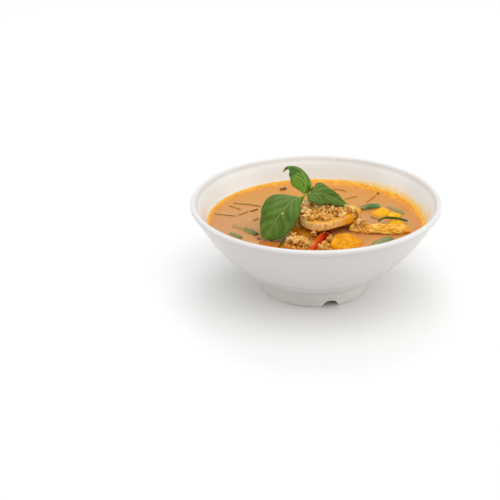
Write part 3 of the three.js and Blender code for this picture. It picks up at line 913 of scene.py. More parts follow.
@dataclass(frozen=True)
class BasilBlade:
    """A basil leaf's skin, with pale veins, a soft sheen, a painted highlight on the puffed flesh and
    painted shade in the creases by the veins.
    """

    name: str
    stalk_end: Colour
    bright: Colour
    deep: Colour
    vein: Colour
    tip: Colour
    # crease and swell are painted light and shade: crease is shade by the veins, and swell is a highlight
    # on the puffed flesh.
    crease: Colour = srgb(52, 84, 2)
    swell: Colour = srgb(122, 152, 74)
    stalk_fade: Slope = (0.0, 0.55, 0.75, 0.0)
    swell_highlight_edge: Slope = (0.45, 1.0, 0.0, 0.2)
    crease_shade_edge: Slope = (0.0, 0.45, 0.5, 0.0)
    tip_edge: Slope = (0.84, 0.98, 0.0, 0.8)
    net_size: float = 1.5

    def made(self) -> bpy.types.Material:
        """Makes the material.

        The mesh carries "vein" along its veins, "puff" where the flesh swells between them, and
        "along" from the stalk to the tip.

        Returns:
            The material.
        """
        g = Graph(self.name, subsurface_weight=0.1, subsurface_scale=MM, specular_ior_level=0.22)
        g.shader.inputs["Subsurface Radius"].default_value = (0.6, 1.0, 0.2)
        patches = g.slope(g.clouds(9.0, 3.0, seed=3.0), 0.35, 0.68)
        fine = g.clouds(0.8, 3.0, 0.6, seed=9.0)
        along = g.attribute("along")
        blade = g.blend(patches, self.bright, self.deep)
        blade = g.blend(g.slope(along, *self.stalk_fade), blade, self.stalk_end)
        puff = g.attribute("puff")
        # Painted highlight where the flesh puffs up, and painted shade in the creases by the veins.
        blade = g.blend(g.slope(puff, *self.swell_highlight_edge), blade, self.swell)
        blade = g.blend(g.slope(puff, *self.crease_shade_edge), blade, self.crease)
        blade = g.blend(g.slope(along, *self.tip_edge), blade, self.tip)
        colour = g.blend(g.attribute("vein"), blade, self.vein)
        net = g.slope(g.cells(self.net_size, 4.0, "DISTANCE_TO_EDGE"), 0.0, 0.12)
        g.bumped((net, 0.02), (fine, 0.04))
        return g.done(colour, g.slope(fine, 0.3, 0.7, 0.38, 0.48))


@dataclass(frozen=True)
class PeanutFlesh:
    """Broken peanut: cream to golden, each crumb its own tone, darker where the curry soaks it, and dark
    brown on the core as painted shade between the crumbs.
    """

    tones: tuple[tuple[float, Colour], ...] = (
        (0.0, srgb(112, 58, 10)),
        (0.22, srgb(188, 116, 32)),
        (0.42, srgb(218, 152, 56)),
        (0.64, srgb(236, 188, 98)),
        (0.92, srgb(252, 226, 164)),
    )
    oil: Colour = srgb(226, 150, 34)
    oiled: Slope = (0.54, 0.72, 0.0, 0.6)
    drift: float = 0.65

    def made(self) -> bpy.types.Material:
        """Makes the material. The mesh's value "tone" differs from crumb to crumb.

        Returns:
            The material.
        """
        g = Graph("peanut_crumb", subsurface_weight=0.2, subsurface_scale=0.8 * MM, specular_ior_level=0.25)
        g.shader.inputs["Subsurface Radius"].default_value = (1.0, 0.6, 0.3)
        fine = g.clouds(0.8, 4.0, 0.7, seed=2.0)
        drift = g.sum("SUBTRACT", g.sum("ADD", fine, g.clouds(3.4, 2.0, seed=8.0)), 1.0)
        tone = g.sum("ADD", g.attribute("tone"), g.sum("MULTIPLY", drift, self.drift))
        colour = g.ramp(tone, *self.tones)
        oiled = g.slope(g.clouds(3.2, 3.0, seed=6.0), *self.oiled)
        g.bumped((fine, 0.1))
        return g.done(g.blend(oiled, colour, self.oil), g.slope(fine, 0.3, 0.7, 0.58, 0.34))


@dataclass(frozen=True)
class LimeShred:
    """A shred of lime leaf or chilli, more or less under a film of curry."""

    name: str
    bare: Colour
    filmed: Colour
    cover: float = 0.3

    def made(self) -> bpy.types.Material:
        """Makes the material.

        Returns:
            The material.
        """
        g = Graph(self.name, specular_ior_level=0.12)
        share = g.slope(g.clouds(2.4, 3.0, seed=5.0), 0.75 - 0.6 * self.cover, 0.9 - 0.5 * self.cover)
        g.bumped((g.clouds(0.7, 2.0), 0.05))
        return g.done(g.blend(share, self.bare, self.filmed), 0.3)


@dataclass(frozen=True)
class PaleFloor:
    """A plain pale floor."""

    light: Colour = srgb(250, 250, 249)
    dull: Colour = srgb(248, 248, 247)
    patch_size: float = 400.0

    def made(self) -> bpy.types.Material:
        """Makes the material.

        Returns:
            The material.
        """
        g = Graph("pale_floor", specular_ior_level=0.3)
        share = g.slope(g.clouds(self.patch_size, 2.0), 0.3, 0.7)
        return g.done(g.blend(share, self.light, self.dull), 0.4)


# ---------------------------------------------------------------- bowl and curry


@dataclass
class NoodleBowl:
    """The footed bowl: a turned wall with soft throwing lines, a rounded rim and a drain notch."""

    join: Vector = Vector((45.0, 0, 12.2)) * MM
    belly: Vector = Vector((76.0, 0, 32.0)) * MM
    crease: Vector = Vector((92.5, 0, 66.0)) * MM
    shoulder: Vector = Vector((87.6, 0, 65.2)) * MM
    wall: float = 2.7 * MM
    rim_centre: Vector = Vector((92.7, 0, 68.5)) * MM
    rim_bead: float = 2.3 * MM
    foot_radius: float = 41.5 * MM
    foot_inner: float = 37.2 * MM
    foot_height: float = 10.8 * MM
    recess: float = 6.8 * MM
    floor_radius: float = 34.0 * MM
    floor_height: float = 11.2 * MM
    foot_edge: float = 0.8 * MM
    foot_flare: float = 0.6 * MM
    grooves: tuple[float, ...] = (23.6 * MM, 33.3 * MM, 42.7 * MM, 51.1 * MM, 61.5 * MM)
    swell: float = 0.22 * MM
    steps: int = 192
    wall_steps: int = 90
    inner_steps: int = 24
    inner_top: float = 0.8
    inner_bottom: float = 0.06
    bead_degrees: range = range(-50, 136, 15)
    sharp_angle: float = math.radians(38)
    notch_bearing: float = math.radians(-76.5)
    notch_base: float = 14.4 * MM
    notch_top: float = 6.8 * MM
    notch_height: float = 5.0 * MM
    notch_rounding: float = 2.2 * MM
    notch_segments: int = 5

    def wall_at(self, t: float) -> tuple[Vector, Vector]:
        """The smooth outer wall, without its throwing lines.

        Args:
            t: how far up the wall, from 0 at the foot to 1 at the crease under the rim.

        Returns:
            The point there, and the normal, which looks outwards.
        """
        point = self.join * (1 - t) ** 2 + self.belly * (2 * t * (1 - t)) + self.crease * t**2
        along = ((self.belly - self.join) * (1 - t) + (self.crease - self.belly) * t).normalized()
        return point, Vector((along.z, 0, -along.x))

    def outer_wall(self) -> list[Vector]:
        """Runs up the outer wall, which swells a little between the throwing grooves.

        Returns:
            Points from the foot to the crease.
        """
        levels = (self.join.z, *self.grooves, self.crease.z)
        points = []
        for i in range(self.wall_steps + 1):
            point, normal = self.wall_at(i / self.wall_steps)
            for lower, upper in zip(levels, levels[1:]):
                if lower <= point.z <= upper:
                    share = (point.z - lower) / (upper - lower)
                    point += normal * (0.5 * self.swell * (1 - math.cos(math.tau * share)))
                    break
            points.append(point)
        return points

    def inner_wall(self) -> list[Vector]:
        """Runs down the inner wall.

        Returns:
            Points from the shoulder under the rim to the floor.
        """
        points = [self.shoulder]
        down = self.inner_bottom - self.inner_top
        for i in range(self.inner_steps + 1):
            point, normal = self.wall_at(self.inner_top + down * i / self.inner_steps)
            points.append(point - normal * self.wall)
        return points

    def inner_radius(self, height: float) -> float:
        """The inner wall's radius at a height.

        Args:
            height: the height above the table.

        Returns:
            The radius there.
        """
        wall = self.inner_wall()
        for upper, lower in zip(wall, wall[1:]):
            if lower.z <= height <= upper.z:
                return lower.x + (upper.x - lower.x) * (height - lower.z) / (upper.z - lower.z)
        return self.floor_radius

    def profile(self) -> list[Vector]:
        """The whole outline of the bowl's cut.

        Returns:
            Points from the axis under the bowl round to the axis inside it.
        """
        foot = softened([
            Vector((0, 0, self.recess)),
            Vector((self.foot_inner, 0, self.recess)),
            Vector((self.foot_inner, 0, self.foot_edge)),
            Vector((self.foot_inner + self.foot_edge, 0, 0)),
            Vector((self.foot_radius - self.foot_edge, 0, 0)),
            Vector((self.foot_radius, 0, self.foot_edge)),
            Vector((self.foot_radius + self.foot_flare, 0, self.foot_height)),
            self.outer_wall()[0],
        ], 3)
        bead = []
        for degrees in self.bead_degrees:
            angle = math.radians(degrees)
            bead.append(self.rim_centre + self.rim_bead * Vector((math.cos(angle), 0, math.sin(angle))))
        corner = Vector((self.floor_radius, 0, self.floor_height))
        inside = softened([bead[-1], *self.inner_wall(), corner], 1)
        return [*foot, *self.outer_wall()[1:], *bead, *inside[1:], Vector((0, 0, self.floor_height))]

    def notch(self) -> bpy.types.Object:
        """The tapered block that cuts the drain notch out of the foot ring.

        Returns:
            The block, which lies in its place.
        """
        bpy.ops.mesh.primitive_cube_add(size=1.0)
        block = named("notch_block")
        depth = 3 * (self.foot_radius - self.foot_inner)
        lowest_width = 2 * self.notch_base - self.notch_top
        block.scale = (depth, lowest_width, 2 * self.notch_height)
        placed(block)
        with editing(block) as mesh:
            for vertex in mesh.verts:
                vertex.select = vertex.co.z > 0
            mesh.select_flush(True)
            share = self.notch_top / lowest_width
            bpy.ops.transform.resize(value=(1, share, 1))
            bpy.ops.mesh.select_all(action="DESELECT")
            for edge in mesh.edges:
                start, end = edge.verts
                edge.select = min(start.co.z, end.co.z) > 0 and abs(start.co.y - end.co.y) < WELD
            bpy.ops.mesh.bevel(offset=self.notch_rounding, segments=self.notch_segments, affect="EDGES")
        middle = 0.5 * (self.foot_radius + self.foot_inner)
        turn = Matrix.Rotation(self.notch_bearing, 4, "Z")
        block.data.transform(turn @ Matrix.Translation((middle, 0, 0)))
        return block

    def mark_inside(self, piece: bpy.types.Object) -> None:
        """Marks the inner wall's vertices with the value "inside".

        Args:
            piece: the bowl.
        """
        inside = piece.data.attributes.new("inside", "FLOAT", "POINT")
        for vertex, mark in zip(piece.data.vertices, inside.data):
            radius = vertex.co.xy.length
            middle = self.inner_radius(min(vertex.co.z, self.shoulder.z)) + 0.5 * self.wall
            mark.value = 1.0 if radius < middle and vertex.co.z > self.floor_height - WELD else 0.0

    def build(self) -> bpy.types.Object:
        """Turns the bowl, cuts its notch and dresses it.

        Returns:
            The bowl.
        """
        bowl = spun("white_bowl", self.profile(), self.steps)
        block = self.notch()
        modified(bowl, "BOOLEAN", operation="DIFFERENCE", object=block, solver="EXACT")
        bpy.data.objects.remove(block)
        self.mark_inside(bowl)
        settled(bowl, GlazedWhite().made(), "bowl_white", "bowl")
        alone(bowl)
        bpy.ops.object.shade_smooth_by_angle(angle=self.sharp_angle)
        return bowl


@dataclass
class Curry:
    """The curry: a body up to its level, that climbs a little up the wall and up what lies in it."""

    bowl: NoodleBowl
    afloat: tuple[str, ...]
    rings: int = 96
    steps: int = 288
    climb: float = 0.9 * MM
    climb_reach: float = 1.3 * MM
    collar: float = 0.18 * MM
    collar_reach: float = 0.9 * MM
    wall_gap: float = 0.02 * MM
    inset: float = 0.3 * MM
    swells: Relief = Relief(0.16 * MM, 13 * MM, seed=3)
    lumps: Relief = Relief(0.08 * MM, 2.6 * MM, seed=8)
    calm_reach: float = 4 * MM

    def profile(self) -> list[Vector]:
        """The outline of the curry's cut.

        Returns:
            Points from the axis at the surface out to the wall, and down inside it to the floor.
        """
        edge = self.bowl.inner_radius(CURRY_LEVEL + self.climb) - self.wall_gap
        points = []
        for i in range(self.rings + 1):
            radius = edge * math.sin(0.5 * math.pi * i / self.rings)
            height = self.climb * math.exp((radius - edge) / self.climb_reach)
            points.append(Vector((radius, 0, CURRY_LEVEL + height)))
        for point in self.bowl.inner_wall():
            if point.z < CURRY_LEVEL - self.inset:
                points.append(Vector((point.x - self.inset, 0, point.z + self.inset)))
        low = self.bowl.floor_height + self.inset
        return [*points, Vector((self.bowl.floor_radius, 0, low)), Vector((0, 0, low))]

    def ripple(self, piece: bpy.types.Object) -> None:
        """Gives the surface its slight swells, and a collar round each piece in it.

        Args:
            piece: the smooth curry.
        """
        around = surface_of(self.afloat)
        edge = self.bowl.inner_radius(CURRY_LEVEL)
        for vertex in piece.data.vertices:
            if vertex.co.z < CURRY_LEVEL - 0.1 * MM:
                continue
            calm = min(1.0, (edge - vertex.co.xy.length) / self.calm_reach)
            lift = max(calm, 0.0) * (self.swells.at(vertex.co) + self.lumps.at(vertex.co))
            _, _, _, distance = around.find_nearest(vertex.co, 4 * self.collar_reach)
            if distance is not None:
                lift += self.collar * math.exp(-((distance / self.collar_reach) ** 2))
            vertex.co.z += lift
        piece.data.update()

    def build(self) -> bpy.types.Object:
        """Pours the curry and dresses it.

        Returns:
            The curry.
        """
        piece = spun("curry_sauce", self.profile(), self.steps)
        self.ripple(piece)
        return settled(piece, CurrySauce().made(), "curry_sauce", "curry")


# ---------------------------------------------------------------- basil sprig


@dataclass
class BasilLeaf:
    """One basil leaf: a blade whose midrib follows a path, with puffed flesh between its veins.

    The left and the right half have their widths at equal steps from the stalk to the tip, in
    millimetres, and the sweep says how much further along a side vein ends than it starts.
    """

    name: str
    node: str
    rib: Path
    right: Vector
    left_widths: tuple[float, ...]
    right_widths: tuple[float, ...]
    droop: float = 0.0
    fold: float = 0.0
    ruffle: float = 0.6 * MM
    phase: float = 0.0
    base: float = 0.07
    puff: float = 0.8 * MM
    veins: int = 5
    sweep: float = 0.42
    midrib: float = 0.32 * MM
    midrib_strength: float = 0.9
    vein_width: float = 0.055
    vein_strength: float = 0.12
    least_width: float = 0.3
    thickness: float = 0.4 * MM
    along_cuts: int = 130
    across_cuts: int = 84
    crowding: float = 1.4

    def half_width(self, along: float, across: float) -> float:
        """How wide one half of the blade is.

        Args:
            along: the share of the way from the stalk to the tip.
            across: above 0 for the left half, and below for the right one.

        Returns:
            The distance from the midrib to the edge.
        """
        widths = self.left_widths if across > 0 else self.right_widths
        rounding = math.sqrt(min(1.0, along / self.base))
        return max(smoothly(widths, along) * rounding, self.least_width) * MM

    def veining(self, along: float, side: float, reach: float) -> tuple[float, float]:
        """How strongly a vein shows, and how far the flesh puffs up, at a spot on the blade.

        Args:
            along: the share of the way from the stalk to the tip.
            side: the share of the way from the midrib to the edge.
            reach: the distance from the midrib.

        Returns:
            The vein's strength and the puff, each from 0 to 1.
        """
        bow = self.sweep * side**1.3 * (1 - 0.45 * along)
        course = self.veins * (along - bow) + 0.5 + 0.1 * math.sin(7 * along + 3 * side + self.phase)
        nearest = abs(course - round(course))
        lateral = self.vein_strength * math.exp(-((nearest / self.vein_width) ** 2))
        lateral *= (1 - side**2) * (1 - along**4)
        midrib = self.midrib_strength * math.exp(-((reach / self.midrib) ** 2)) * (1 - 0.5 * along)
        swell = math.sin(math.pi * nearest) ** 1.2
        beside_midrib = 1 - math.exp(-((reach / (4 * self.midrib)) ** 2))
        return max(lateral, midrib), swell * (1 - side**4) * beside_midrib

    def spot(self, along: float, across: float) -> tuple[Vector, float, float]:
        """Lays one spot of the flat blade along the midrib's path.

        Args:
            along: the share of the way from the stalk to the tip.
            across: from -1 at the right edge to 1 at the left one.

        Returns:
            The spot's place, its vein's strength and its puff.
        """
        tangent = self.rib.tangent(along)
        out = (self.right - tangent * self.right.dot(tangent)).normalized()
        up = out.cross(tangent).normalized()
        side = abs(across)
        sign = 1 if across > 0 else -1
        reach = side * self.half_width(along, across)
        bend = math.radians(self.fold)
        ends = math.sin(math.pi * along)
        wave = self.ruffle * side**2 * math.sin(9 * along + self.phase + 1.3 * sign) * ends
        vein, puff = self.veining(along, side, reach)
        rise = math.sin(bend) * reach - self.droop * reach * side + wave + self.puff * puff * ends**0.5
        place = self.rib.at(along) - out * (sign * math.cos(bend) * reach) + up * rise
        return place, vein, puff

    def build(self, material: bpy.types.Material, slot: str) -> bpy.types.Object:
        """Grows the leaf from a flat grid that is finest along its midrib.

        Args:
            material: its finish.
            slot: its material slot.

        Returns:
            The leaf.
        """
        bpy.ops.mesh.primitive_grid_add(
            x_subdivisions=self.along_cuts, y_subdivisions=self.across_cuts, size=2.0
        )
        piece = named(self.name)
        marks = [piece.data.attributes.new(key, "FLOAT", "POINT") for key in ("vein", "puff", "along")]
        for i, vertex in enumerate(piece.data.vertices):
            along = min(max(0.5 * (vertex.co.x + 1), 0.0), 1.0)
            across = math.copysign(abs(vertex.co.y) ** self.crowding, vertex.co.y)
            vertex.co, vein, puff = self.spot(along, across)
            for mark, value in zip(marks, (vein, puff, along)):
                mark.data[i].value = value
        modified(piece, "SOLIDIFY", thickness=self.thickness, offset=0.0)
        return settled(piece, material, slot, self.node)


@dataclass
class BasilSprig:
    """Three leaves, the stem that carries them and the bud between them."""

    leaf: BasilBlade = BasilBlade(
        "leaf_green", stalk_end=srgb(98, 130, 54), bright=srgb(88, 120, 28), deep=srgb(64, 94, 4),
        vein=srgb(160, 170, 88), tip=srgb(84, 110, 2),
    )
    young: BasilBlade = BasilBlade(
        "young_leaf", stalk_end=srgb(100, 144, 14), bright=srgb(108, 144, 26), deep=srgb(62, 100, 2),
        vein=srgb(160, 184, 80), tip=srgb(164, 184, 12),
    )
    stalk: BasilBlade = BasilBlade(
        "young_stalk", stalk_end=srgb(136, 170, 36), bright=srgb(146, 178, 48), deep=srgb(104, 142, 16),
        vein=srgb(150, 180, 60), tip=srgb(140, 174, 34), crease=srgb(150, 184, 40),
    )

    def front(self) -> BasilLeaf:
        """The broad leaf that hangs towards the diner.

        Returns:
            The leaf, not yet built.
        """
        return BasilLeaf(
            "basil_leaf_front", "leaf_front",
            Path(points_mm(
                (-12.4, -8.6, 75.6), (-17.6, -14.6, 75.6), (-22, -19.8, 74), (-26.9, -26, 70.8),
                (-30.3, -30.4, 67.2), (-34.7, -34.4, 61.8), (-38.5, -36.9, 57), (-39.8, -38.2, 55.2),
            )),
            Vector((-0.776, 0.581, 0.232)),
            (2.4, 7.6, 11.2, 12.8, 13.6, 11.4, 5.8, 0.4), (8.4, 15.6, 17.8, 16.6, 14.2, 11, 4.8, 0.4),
            droop=0.18, phase=0.4,
        )

    def right(self) -> BasilLeaf:
        """The leaf that lies over the peanuts towards the right.

        Returns:
            The leaf, not yet built.
        """
        return BasilLeaf(
            "basil_leaf_right", "leaf_right",
            Path(points_mm(
                (-6.6, -3.2, 76), (-2.9, -5, 77), (3, -5.8, 77.7), (8.9, -7.3, 76.6),
                (14.9, -8.2, 73.6), (20.2, -7.6, 70.4), (24.2, -6.8, 68.2),
            )),
            Vector((-0.224, -0.857, -0.457)),
            (0.9, 2.4, 10.2, 7.2, 5.2, 4.4, 2.2, 0.4), (0.9, 7.4, 11, 11.2, 6.9, 4.9, 3.6, 0.4),
            droop=0.05, fold=6, ruffle=0.8 * MM, phase=1.2, sweep=0.5,
        )

    def top(self) -> BasilLeaf:
        """The young leaf that stands up and curls over at its tip.

        Returns:
            The leaf, not yet built.
        """
        return BasilLeaf(
            "basil_leaf_top", "leaf_top",
            Path(points_mm(
                (-9.2, -2.8, 76), (-7.8, 0.6, 79.2), (-7.2, 4.6, 83.2), (-8.4, 8.2, 86.2),
                (-10.8, 12.9, 88.4), (-14.4, 18.4, 89.6), (-20.2, 22.2, 88.6), (-23.8, 22.8, 84),
            )),
            Vector((0.86, 0.475, -0.15)),
            (2.4, 9.6, 11.2, 10.8, 9.6, 6.6, 2.6, 0.4), (0.9, 5.6, 6.8, 6.9, 6.6, 5.4, 2.6, 0.4),
            droop=0.08, fold=-22, ruffle=0.5 * MM, phase=2.2, puff=0.85 * MM, sweep=0.75,
        )

    def bud(self) -> list[BasilLeaf]:
        """Two small leaves that unfold between the large ones.

        Returns:
            The leaves, not yet built.
        """
        low, high = (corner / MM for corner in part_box("sprig_bud"))
        x, y = 0.5 * (low.x + high.x), 0.5 * (low.y + high.y)
        left = ((x, y, low.z), (x - 0.3, y + 0.4, low.z + 2.6), (x - 1.2, y + 0.6, high.z - 0.4))
        right = ((x, y, low.z), (x + 0.6, y, low.z + 2.2), (x + 1.4, y - 0.3, high.z - 1.4))
        widths = (0.5, 1.2, 1.4, 1.0, 0.3)
        return [
            BasilLeaf(
                f"basil_bud_{side}", "sprig_bud", Path(points_mm(*rib)), Vector(facing), widths, widths,
                fold=30, ruffle=0.0, puff=0.1 * MM, veins=3, along_cuts=24, across_cuts=14,
            )
            for side, rib, facing in (("left", left, (0.6, -0.8, 0)), ("right", right, (0.4, 0.9, 0)))
        ]

    def build(self) -> None:
        """Builds and dresses the sprig."""
        leaf_skin, young_skin = self.leaf.made(), self.young.made()
        self.front().build(leaf_skin, "leaf_green")
        self.right().build(leaf_skin, "leaf_green")
        self.top().build(young_skin, "young_leaf")
        for small in self.bud():
            small.build(young_skin, "young_leaf")
        stem = refined("sprig_stem", 0.22 * MM, 4)
        roughened(stem, Relief(0.1 * MM, 1.6 * MM, (1, 1, 4)))
        settled(stem, self.stalk.made(), "young_leaf", "sprig_stem")


# ---------------------------------------------------------------- crushed peanuts


@dataclass(frozen=True)
class CrumbKind:
    """How one layer of crumbs is spread: their radii, their distance, and how finely they are made."""

    smallest: float
    largest: float
    spacing: float
    detail: int
    tries: int


@dataclass
class CrushedPeanuts:
    """Heaps of crushed peanuts: a core painted dark brown as the shade between crumbs, under crumbs of
    three sizes, each broken its own way.
    """

    kinds: tuple[CrumbKind, ...] = (
        CrumbKind(0.9 * MM, 1.9 * MM, 1.8 * MM, 2, 14000),
        CrumbKind(0.5 * MM, 0.9 * MM, 1.2 * MM, 1, 12000),
        CrumbKind(0.24 * MM, 0.42 * MM, 1.2 * MM, 1, 4000),
    )
    strewn: CrumbKind = CrumbKind(0.25 * MM, 0.85 * MM, 0.0, 1, 160)
    fallen_from: str = "peanut_front_left"
    fallen: tuple[Vector, ...] = field(default_factory=lambda: points_mm((-25.6, -27.8, 70.9)))
    fallen_size: float = 0.8 * MM
    strewn_reach: tuple[float, float] = (0.8, 1.25)
    strewn_share: float = 60.0
    drop: float = 30 * MM
    shapes: int = 9
    cuts: int = 2
    cut_depth: tuple[float, float] = (0.45, 0.85)
    proportions: tuple[float, float] = (0.75, 1.25)
    most_faces: int = 36
    jitter: float = 0.12
    lumps: Relief = Relief(0.75, 0.85)
    core_voxel: float = 0.7 * MM
    core_smoothing: int = 12
    core_depth: float = 1.2 * MM
    core_share: float = 0.15
    # The core's dark tone is painted shade, showing in the gaps between the crumbs.
    core_shade_tone: float = 0.05
    clumps: Relief = Relief(1.2 * MM, 3.8 * MM)
    bumps: Relief = Relief(0.4 * MM, 1.3 * MM)
    full_area: float = 3.0e-3
    tone: float = 0.65
    tone_spread: float = 0.16
    # How much lighter a crumb is painted on a raised clump, and darker in a hollow, as light and shade.
    clump_light_share: float = 0.3
    soaked: float = 5.0 * MM
    soak_share: float = 0.16
    tone_range: tuple[float, float] = (0.1, 0.98)
    sharp_angle: float = math.radians(42)
    first_seed: int = 40

    def crumb(self, number: int, detail: int) -> bpy.types.Mesh:
        """One broken crumb of radius 1, cut flat on a few sides.

        Args:
            number: which of the crumbs it is.
            detail: how finely its ball is split before it is cut.

        Returns:
            The crumb's mesh.
        """
        random = Random(100 * detail + number)
        bpy.ops.mesh.primitive_ico_sphere_add(subdivisions=detail, radius=1.0)
        piece = named(f"crumb_{detail}_{number}")
        with editing(piece):
            bpy.ops.mesh.select_all(action="SELECT")
            bpy.ops.transform.vertex_random(offset=self.jitter, seed=number)
        roughened(piece, replace(self.lumps, seed=number))
        with editing(piece):
            for _ in range(self.cuts):
                bpy.ops.mesh.select_all(action="SELECT")
                side = Vector((random.gauss(0, 1), random.gauss(0, 1), random.gauss(0, 1))).normalized()
                point = side * random.uniform(*self.cut_depth)
                bpy.ops.mesh.bisect(plane_co=point, plane_no=side, use_fill=True, clear_outer=True)
            bpy.ops.mesh.select_all(action="SELECT")
            bpy.ops.transform.resize(value=[random.uniform(*self.proportions) for _ in range(3)])
            bpy.ops.mesh.quads_convert_to_tris()
        if len(piece.data.polygons) > self.most_faces:
            modified(piece, "DECIMATE", ratio=self.most_faces / len(piece.data.polygons))
        mesh = piece.data
        bpy.data.objects.remove(piece)
        return mesh

    def places(
        self, core: bpy.types.Object, kind: CrumbKind, random: Random, avoid: BVHTree
    ) -> list[tuple[Vector, float]]:
        """Spreads crumbs over a core, none too near another or into what lies over the heap.

        Args:
            core: the heap's core.
            kind: the kind of crumb.
            random: the heap's own random draw.
            avoid: the surfaces to stay clear of.

        Returns:
            For each crumb its place and its radius.
        """
        polygons = list(core.data.polygons)
        areas = [polygon.area for polygon in polygons]
        tries = int(kind.tries * min(1.0, sum(areas) / self.full_area))
        taken: dict[tuple[int, ...], list[Vector]] = {}
        found = []
        for polygon in random.choices(polygons, areas, k=tries):
            radius = kind.smallest + (kind.largest - kind.smallest) * random.random() ** 1.5
            spot = polygon.center + polygon.normal * (random.uniform(0.0, 0.8) * radius)
            cell = tuple(int(c // kind.spacing) for c in spot)
            near = (
                other
                for i in (-1, 0, 1) for j in (-1, 0, 1) for k in (-1, 0, 1)
                for other in taken.get((cell[0] + i, cell[1] + j, cell[2] + k), ())
            )
            if spot.z < CURRY_LEVEL + 0.2 * radius or any((spot - o).length < kind.spacing for o in near):
                continue
            _, _, _, distance = avoid.find_nearest(spot, 0.8 * radius)
            if distance is not None:
                continue
            taken.setdefault(cell, []).append(spot)
            found.append((spot, radius))
        return found

    def beside(
        self, node: str, random: Random, carriers: BVHTree, avoid: BVHTree
    ) -> list[tuple[Vector, float]]:
        """Strews loose crumbs round a heap, on whatever lies there.

        Args:
            node: the heap's CAD node.
            random: the heap's own random draw.
            carriers: the surfaces that a crumb may lie on.
            avoid: the surfaces that no crumb may lie under.

        Returns:
            For each crumb its place and its radius.
        """
        low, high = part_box(node)
        middle, half = 0.5 * (low + high), 0.5 * (high - low)
        above, down = high.z + self.drop, Vector((0, 0, -1))
        tries = int(self.strewn.tries * min(1.0, self.strewn_share * half.x * half.y / self.full_area))
        found = []
        for _ in range(tries):
            angle = random.uniform(0, math.tau)
            reach = random.uniform(*self.strewn_reach)
            x = middle.x + reach * half.x * math.cos(angle)
            y = middle.y + reach * half.y * math.sin(angle)
            place = Vector((x, y, above))
            radius = random.uniform(self.strewn.smallest, self.strewn.largest)
            spot = carriers.ray_cast(place, down)[0]
            if spot is not None and avoid.ray_cast(place, down)[0] is None:
                found.append((spot + Vector((0, 0, 0.3 * radius)), radius))
        return found

    def tone_at(self, spot: Vector, clumps: Relief, random: Random) -> float:
        """The tone of one crumb: painted lighter on a raised clump and darker in a hollow, as light and
        shade, and darker where the curry soaks it.

        Args:
            spot: the crumb's place.
            clumps: the heap's clumps.
            random: the heap's own random draw.

        Returns:
            The tone, from 0 for the darkest to 1.
        """
        soak = max(0.0, 1 - (spot.z - CURRY_LEVEL) / self.soaked)
        # Painted light and shade: crumbs on a raised clump get a lighter tone, and those in a hollow a
        # darker one.
        clump = clumps.at(spot) / clumps.depth
        least, most = self.tone_range
        drawn = random.gauss(self.tone, self.tone_spread)
        return min(max(drawn + self.clump_light_share * clump - self.soak_share * soak, least), most)

    def scattered(
        self, name: str, node: str, seed: int, carriers: BVHTree, avoid: BVHTree
    ) -> bpy.types.Object:
        """One heap of crumbs over its core, as one mesh.

        Args:
            name: the piece's name.
            node: the CAD node that it stands for.
            seed: the seed of its random draw.
            carriers: the surfaces that loose crumbs may lie on.
            avoid: the surfaces to stay clear of.

        Returns:
            The heap.
        """
        random = Random(seed)
        core = refined(node, self.core_voxel, self.core_smoothing)
        low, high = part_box(node)
        fattened(core, -min(self.core_depth, self.core_share * min(high - low)))
        clumps = replace(self.clumps, seed=seed)
        roughened(core, clumps, replace(self.bumps, seed=seed + 1))
        modified(core, "TRIANGULATE")
        corners = [vertex.co.copy() for vertex in core.data.vertices]
        faces = [tuple(polygon.vertices) for polygon in core.data.polygons]
        # Painted shade: the core takes the darkest tone, so the gaps between the crumbs look shaded.
        tones = [self.core_shade_tone] * len(corners)
        layers = [(kind, self.places(core, kind, random, avoid)) for kind in self.kinds]
        layers.append((self.strewn, self.beside(node, random, carriers, avoid)))
        if node == self.fallen_from:
            layers.append((self.strewn, [(spot, self.fallen_size) for spot in self.fallen]))
        for kind, places in layers:
            shapes = [self.crumb(number, kind.detail) for number in range(self.shapes)]
            for spot, radius in places:
                shape = random.choice(shapes)
                turn = Matrix.Rotation(random.uniform(0, math.tau), 3, "Z")
                turn @= Matrix.Rotation(random.uniform(0, math.tau), 3, "X")
                start = len(corners)
                corners.extend(spot + turn @ vertex.co * radius for vertex in shape.vertices)
                faces.extend(tuple(start + i for i in face.vertices) for face in shape.polygons)
                tones.extend([self.tone_at(spot, clumps, random)] * len(shape.vertices))
        bpy.data.objects.remove(core)
        mesh = bpy.data.meshes.new(name)
        mesh.from_pydata(corners, [], faces)
        mesh.attributes.new("tone", "FLOAT", "POINT").data.foreach_set("value", tones)
        piece = bpy.data.objects.new(name, mesh)
        bpy.context.scene.collection.objects.link(piece)
        return piece

    def build(self) -> None:
        """Builds and dresses every heap, with each its own seed."""
        material = PeanutFlesh().made()
        over = surface_of(("leaf_right", "leaf_front", "leaf_top", "sprig_stem"))
        carriers = surface_of((
            "curry", "pale_slice", "brown_slice", "amber_slice", "pumpkin_chunk", "chicken_strip",
            "pepper_strip",
        ))
        heaps = [node for node in sorted(frame["nodes"]) if node.startswith("peanut_")]
        for seed, node in enumerate(heaps, self.first_seed):
            piece = self.scattered(f"crumbs_{node}", node, seed, carriers, over)
            settled(piece, material, "peanut_crumb", node)
            alone(piece)
            bpy.ops.object.shade_smooth_by_angle(angle=self.sharp_angle)


# ---------------------------------------------------------------- vegetables and chicken


@dataclass(frozen=True)
class KnifeCut:
    """A flat cut across a chunk: a point as shares of the chunk's box, and the way the cut face looks."""

    share: tuple[float, float, float]
    facing: tuple[float, float, float]

    def across(self, piece: bpy.types.Object, node: str) -> None:
        """Cuts a piece flat and closes it again.

        Args:
            piece: the piece to cut.
            node: the CAD node whose box the shares are of.
        """
        low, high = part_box(node)
        point = Vector(a + share * (b - a) for a, b, share in zip(low, high, self.share))
        with editing(piece):
            bpy.ops.mesh.select_all(action="SELECT")
            bpy.ops.mesh.bisect(plane_co=point, plane_no=self.facing, use_fill=True, clear_outer=True)


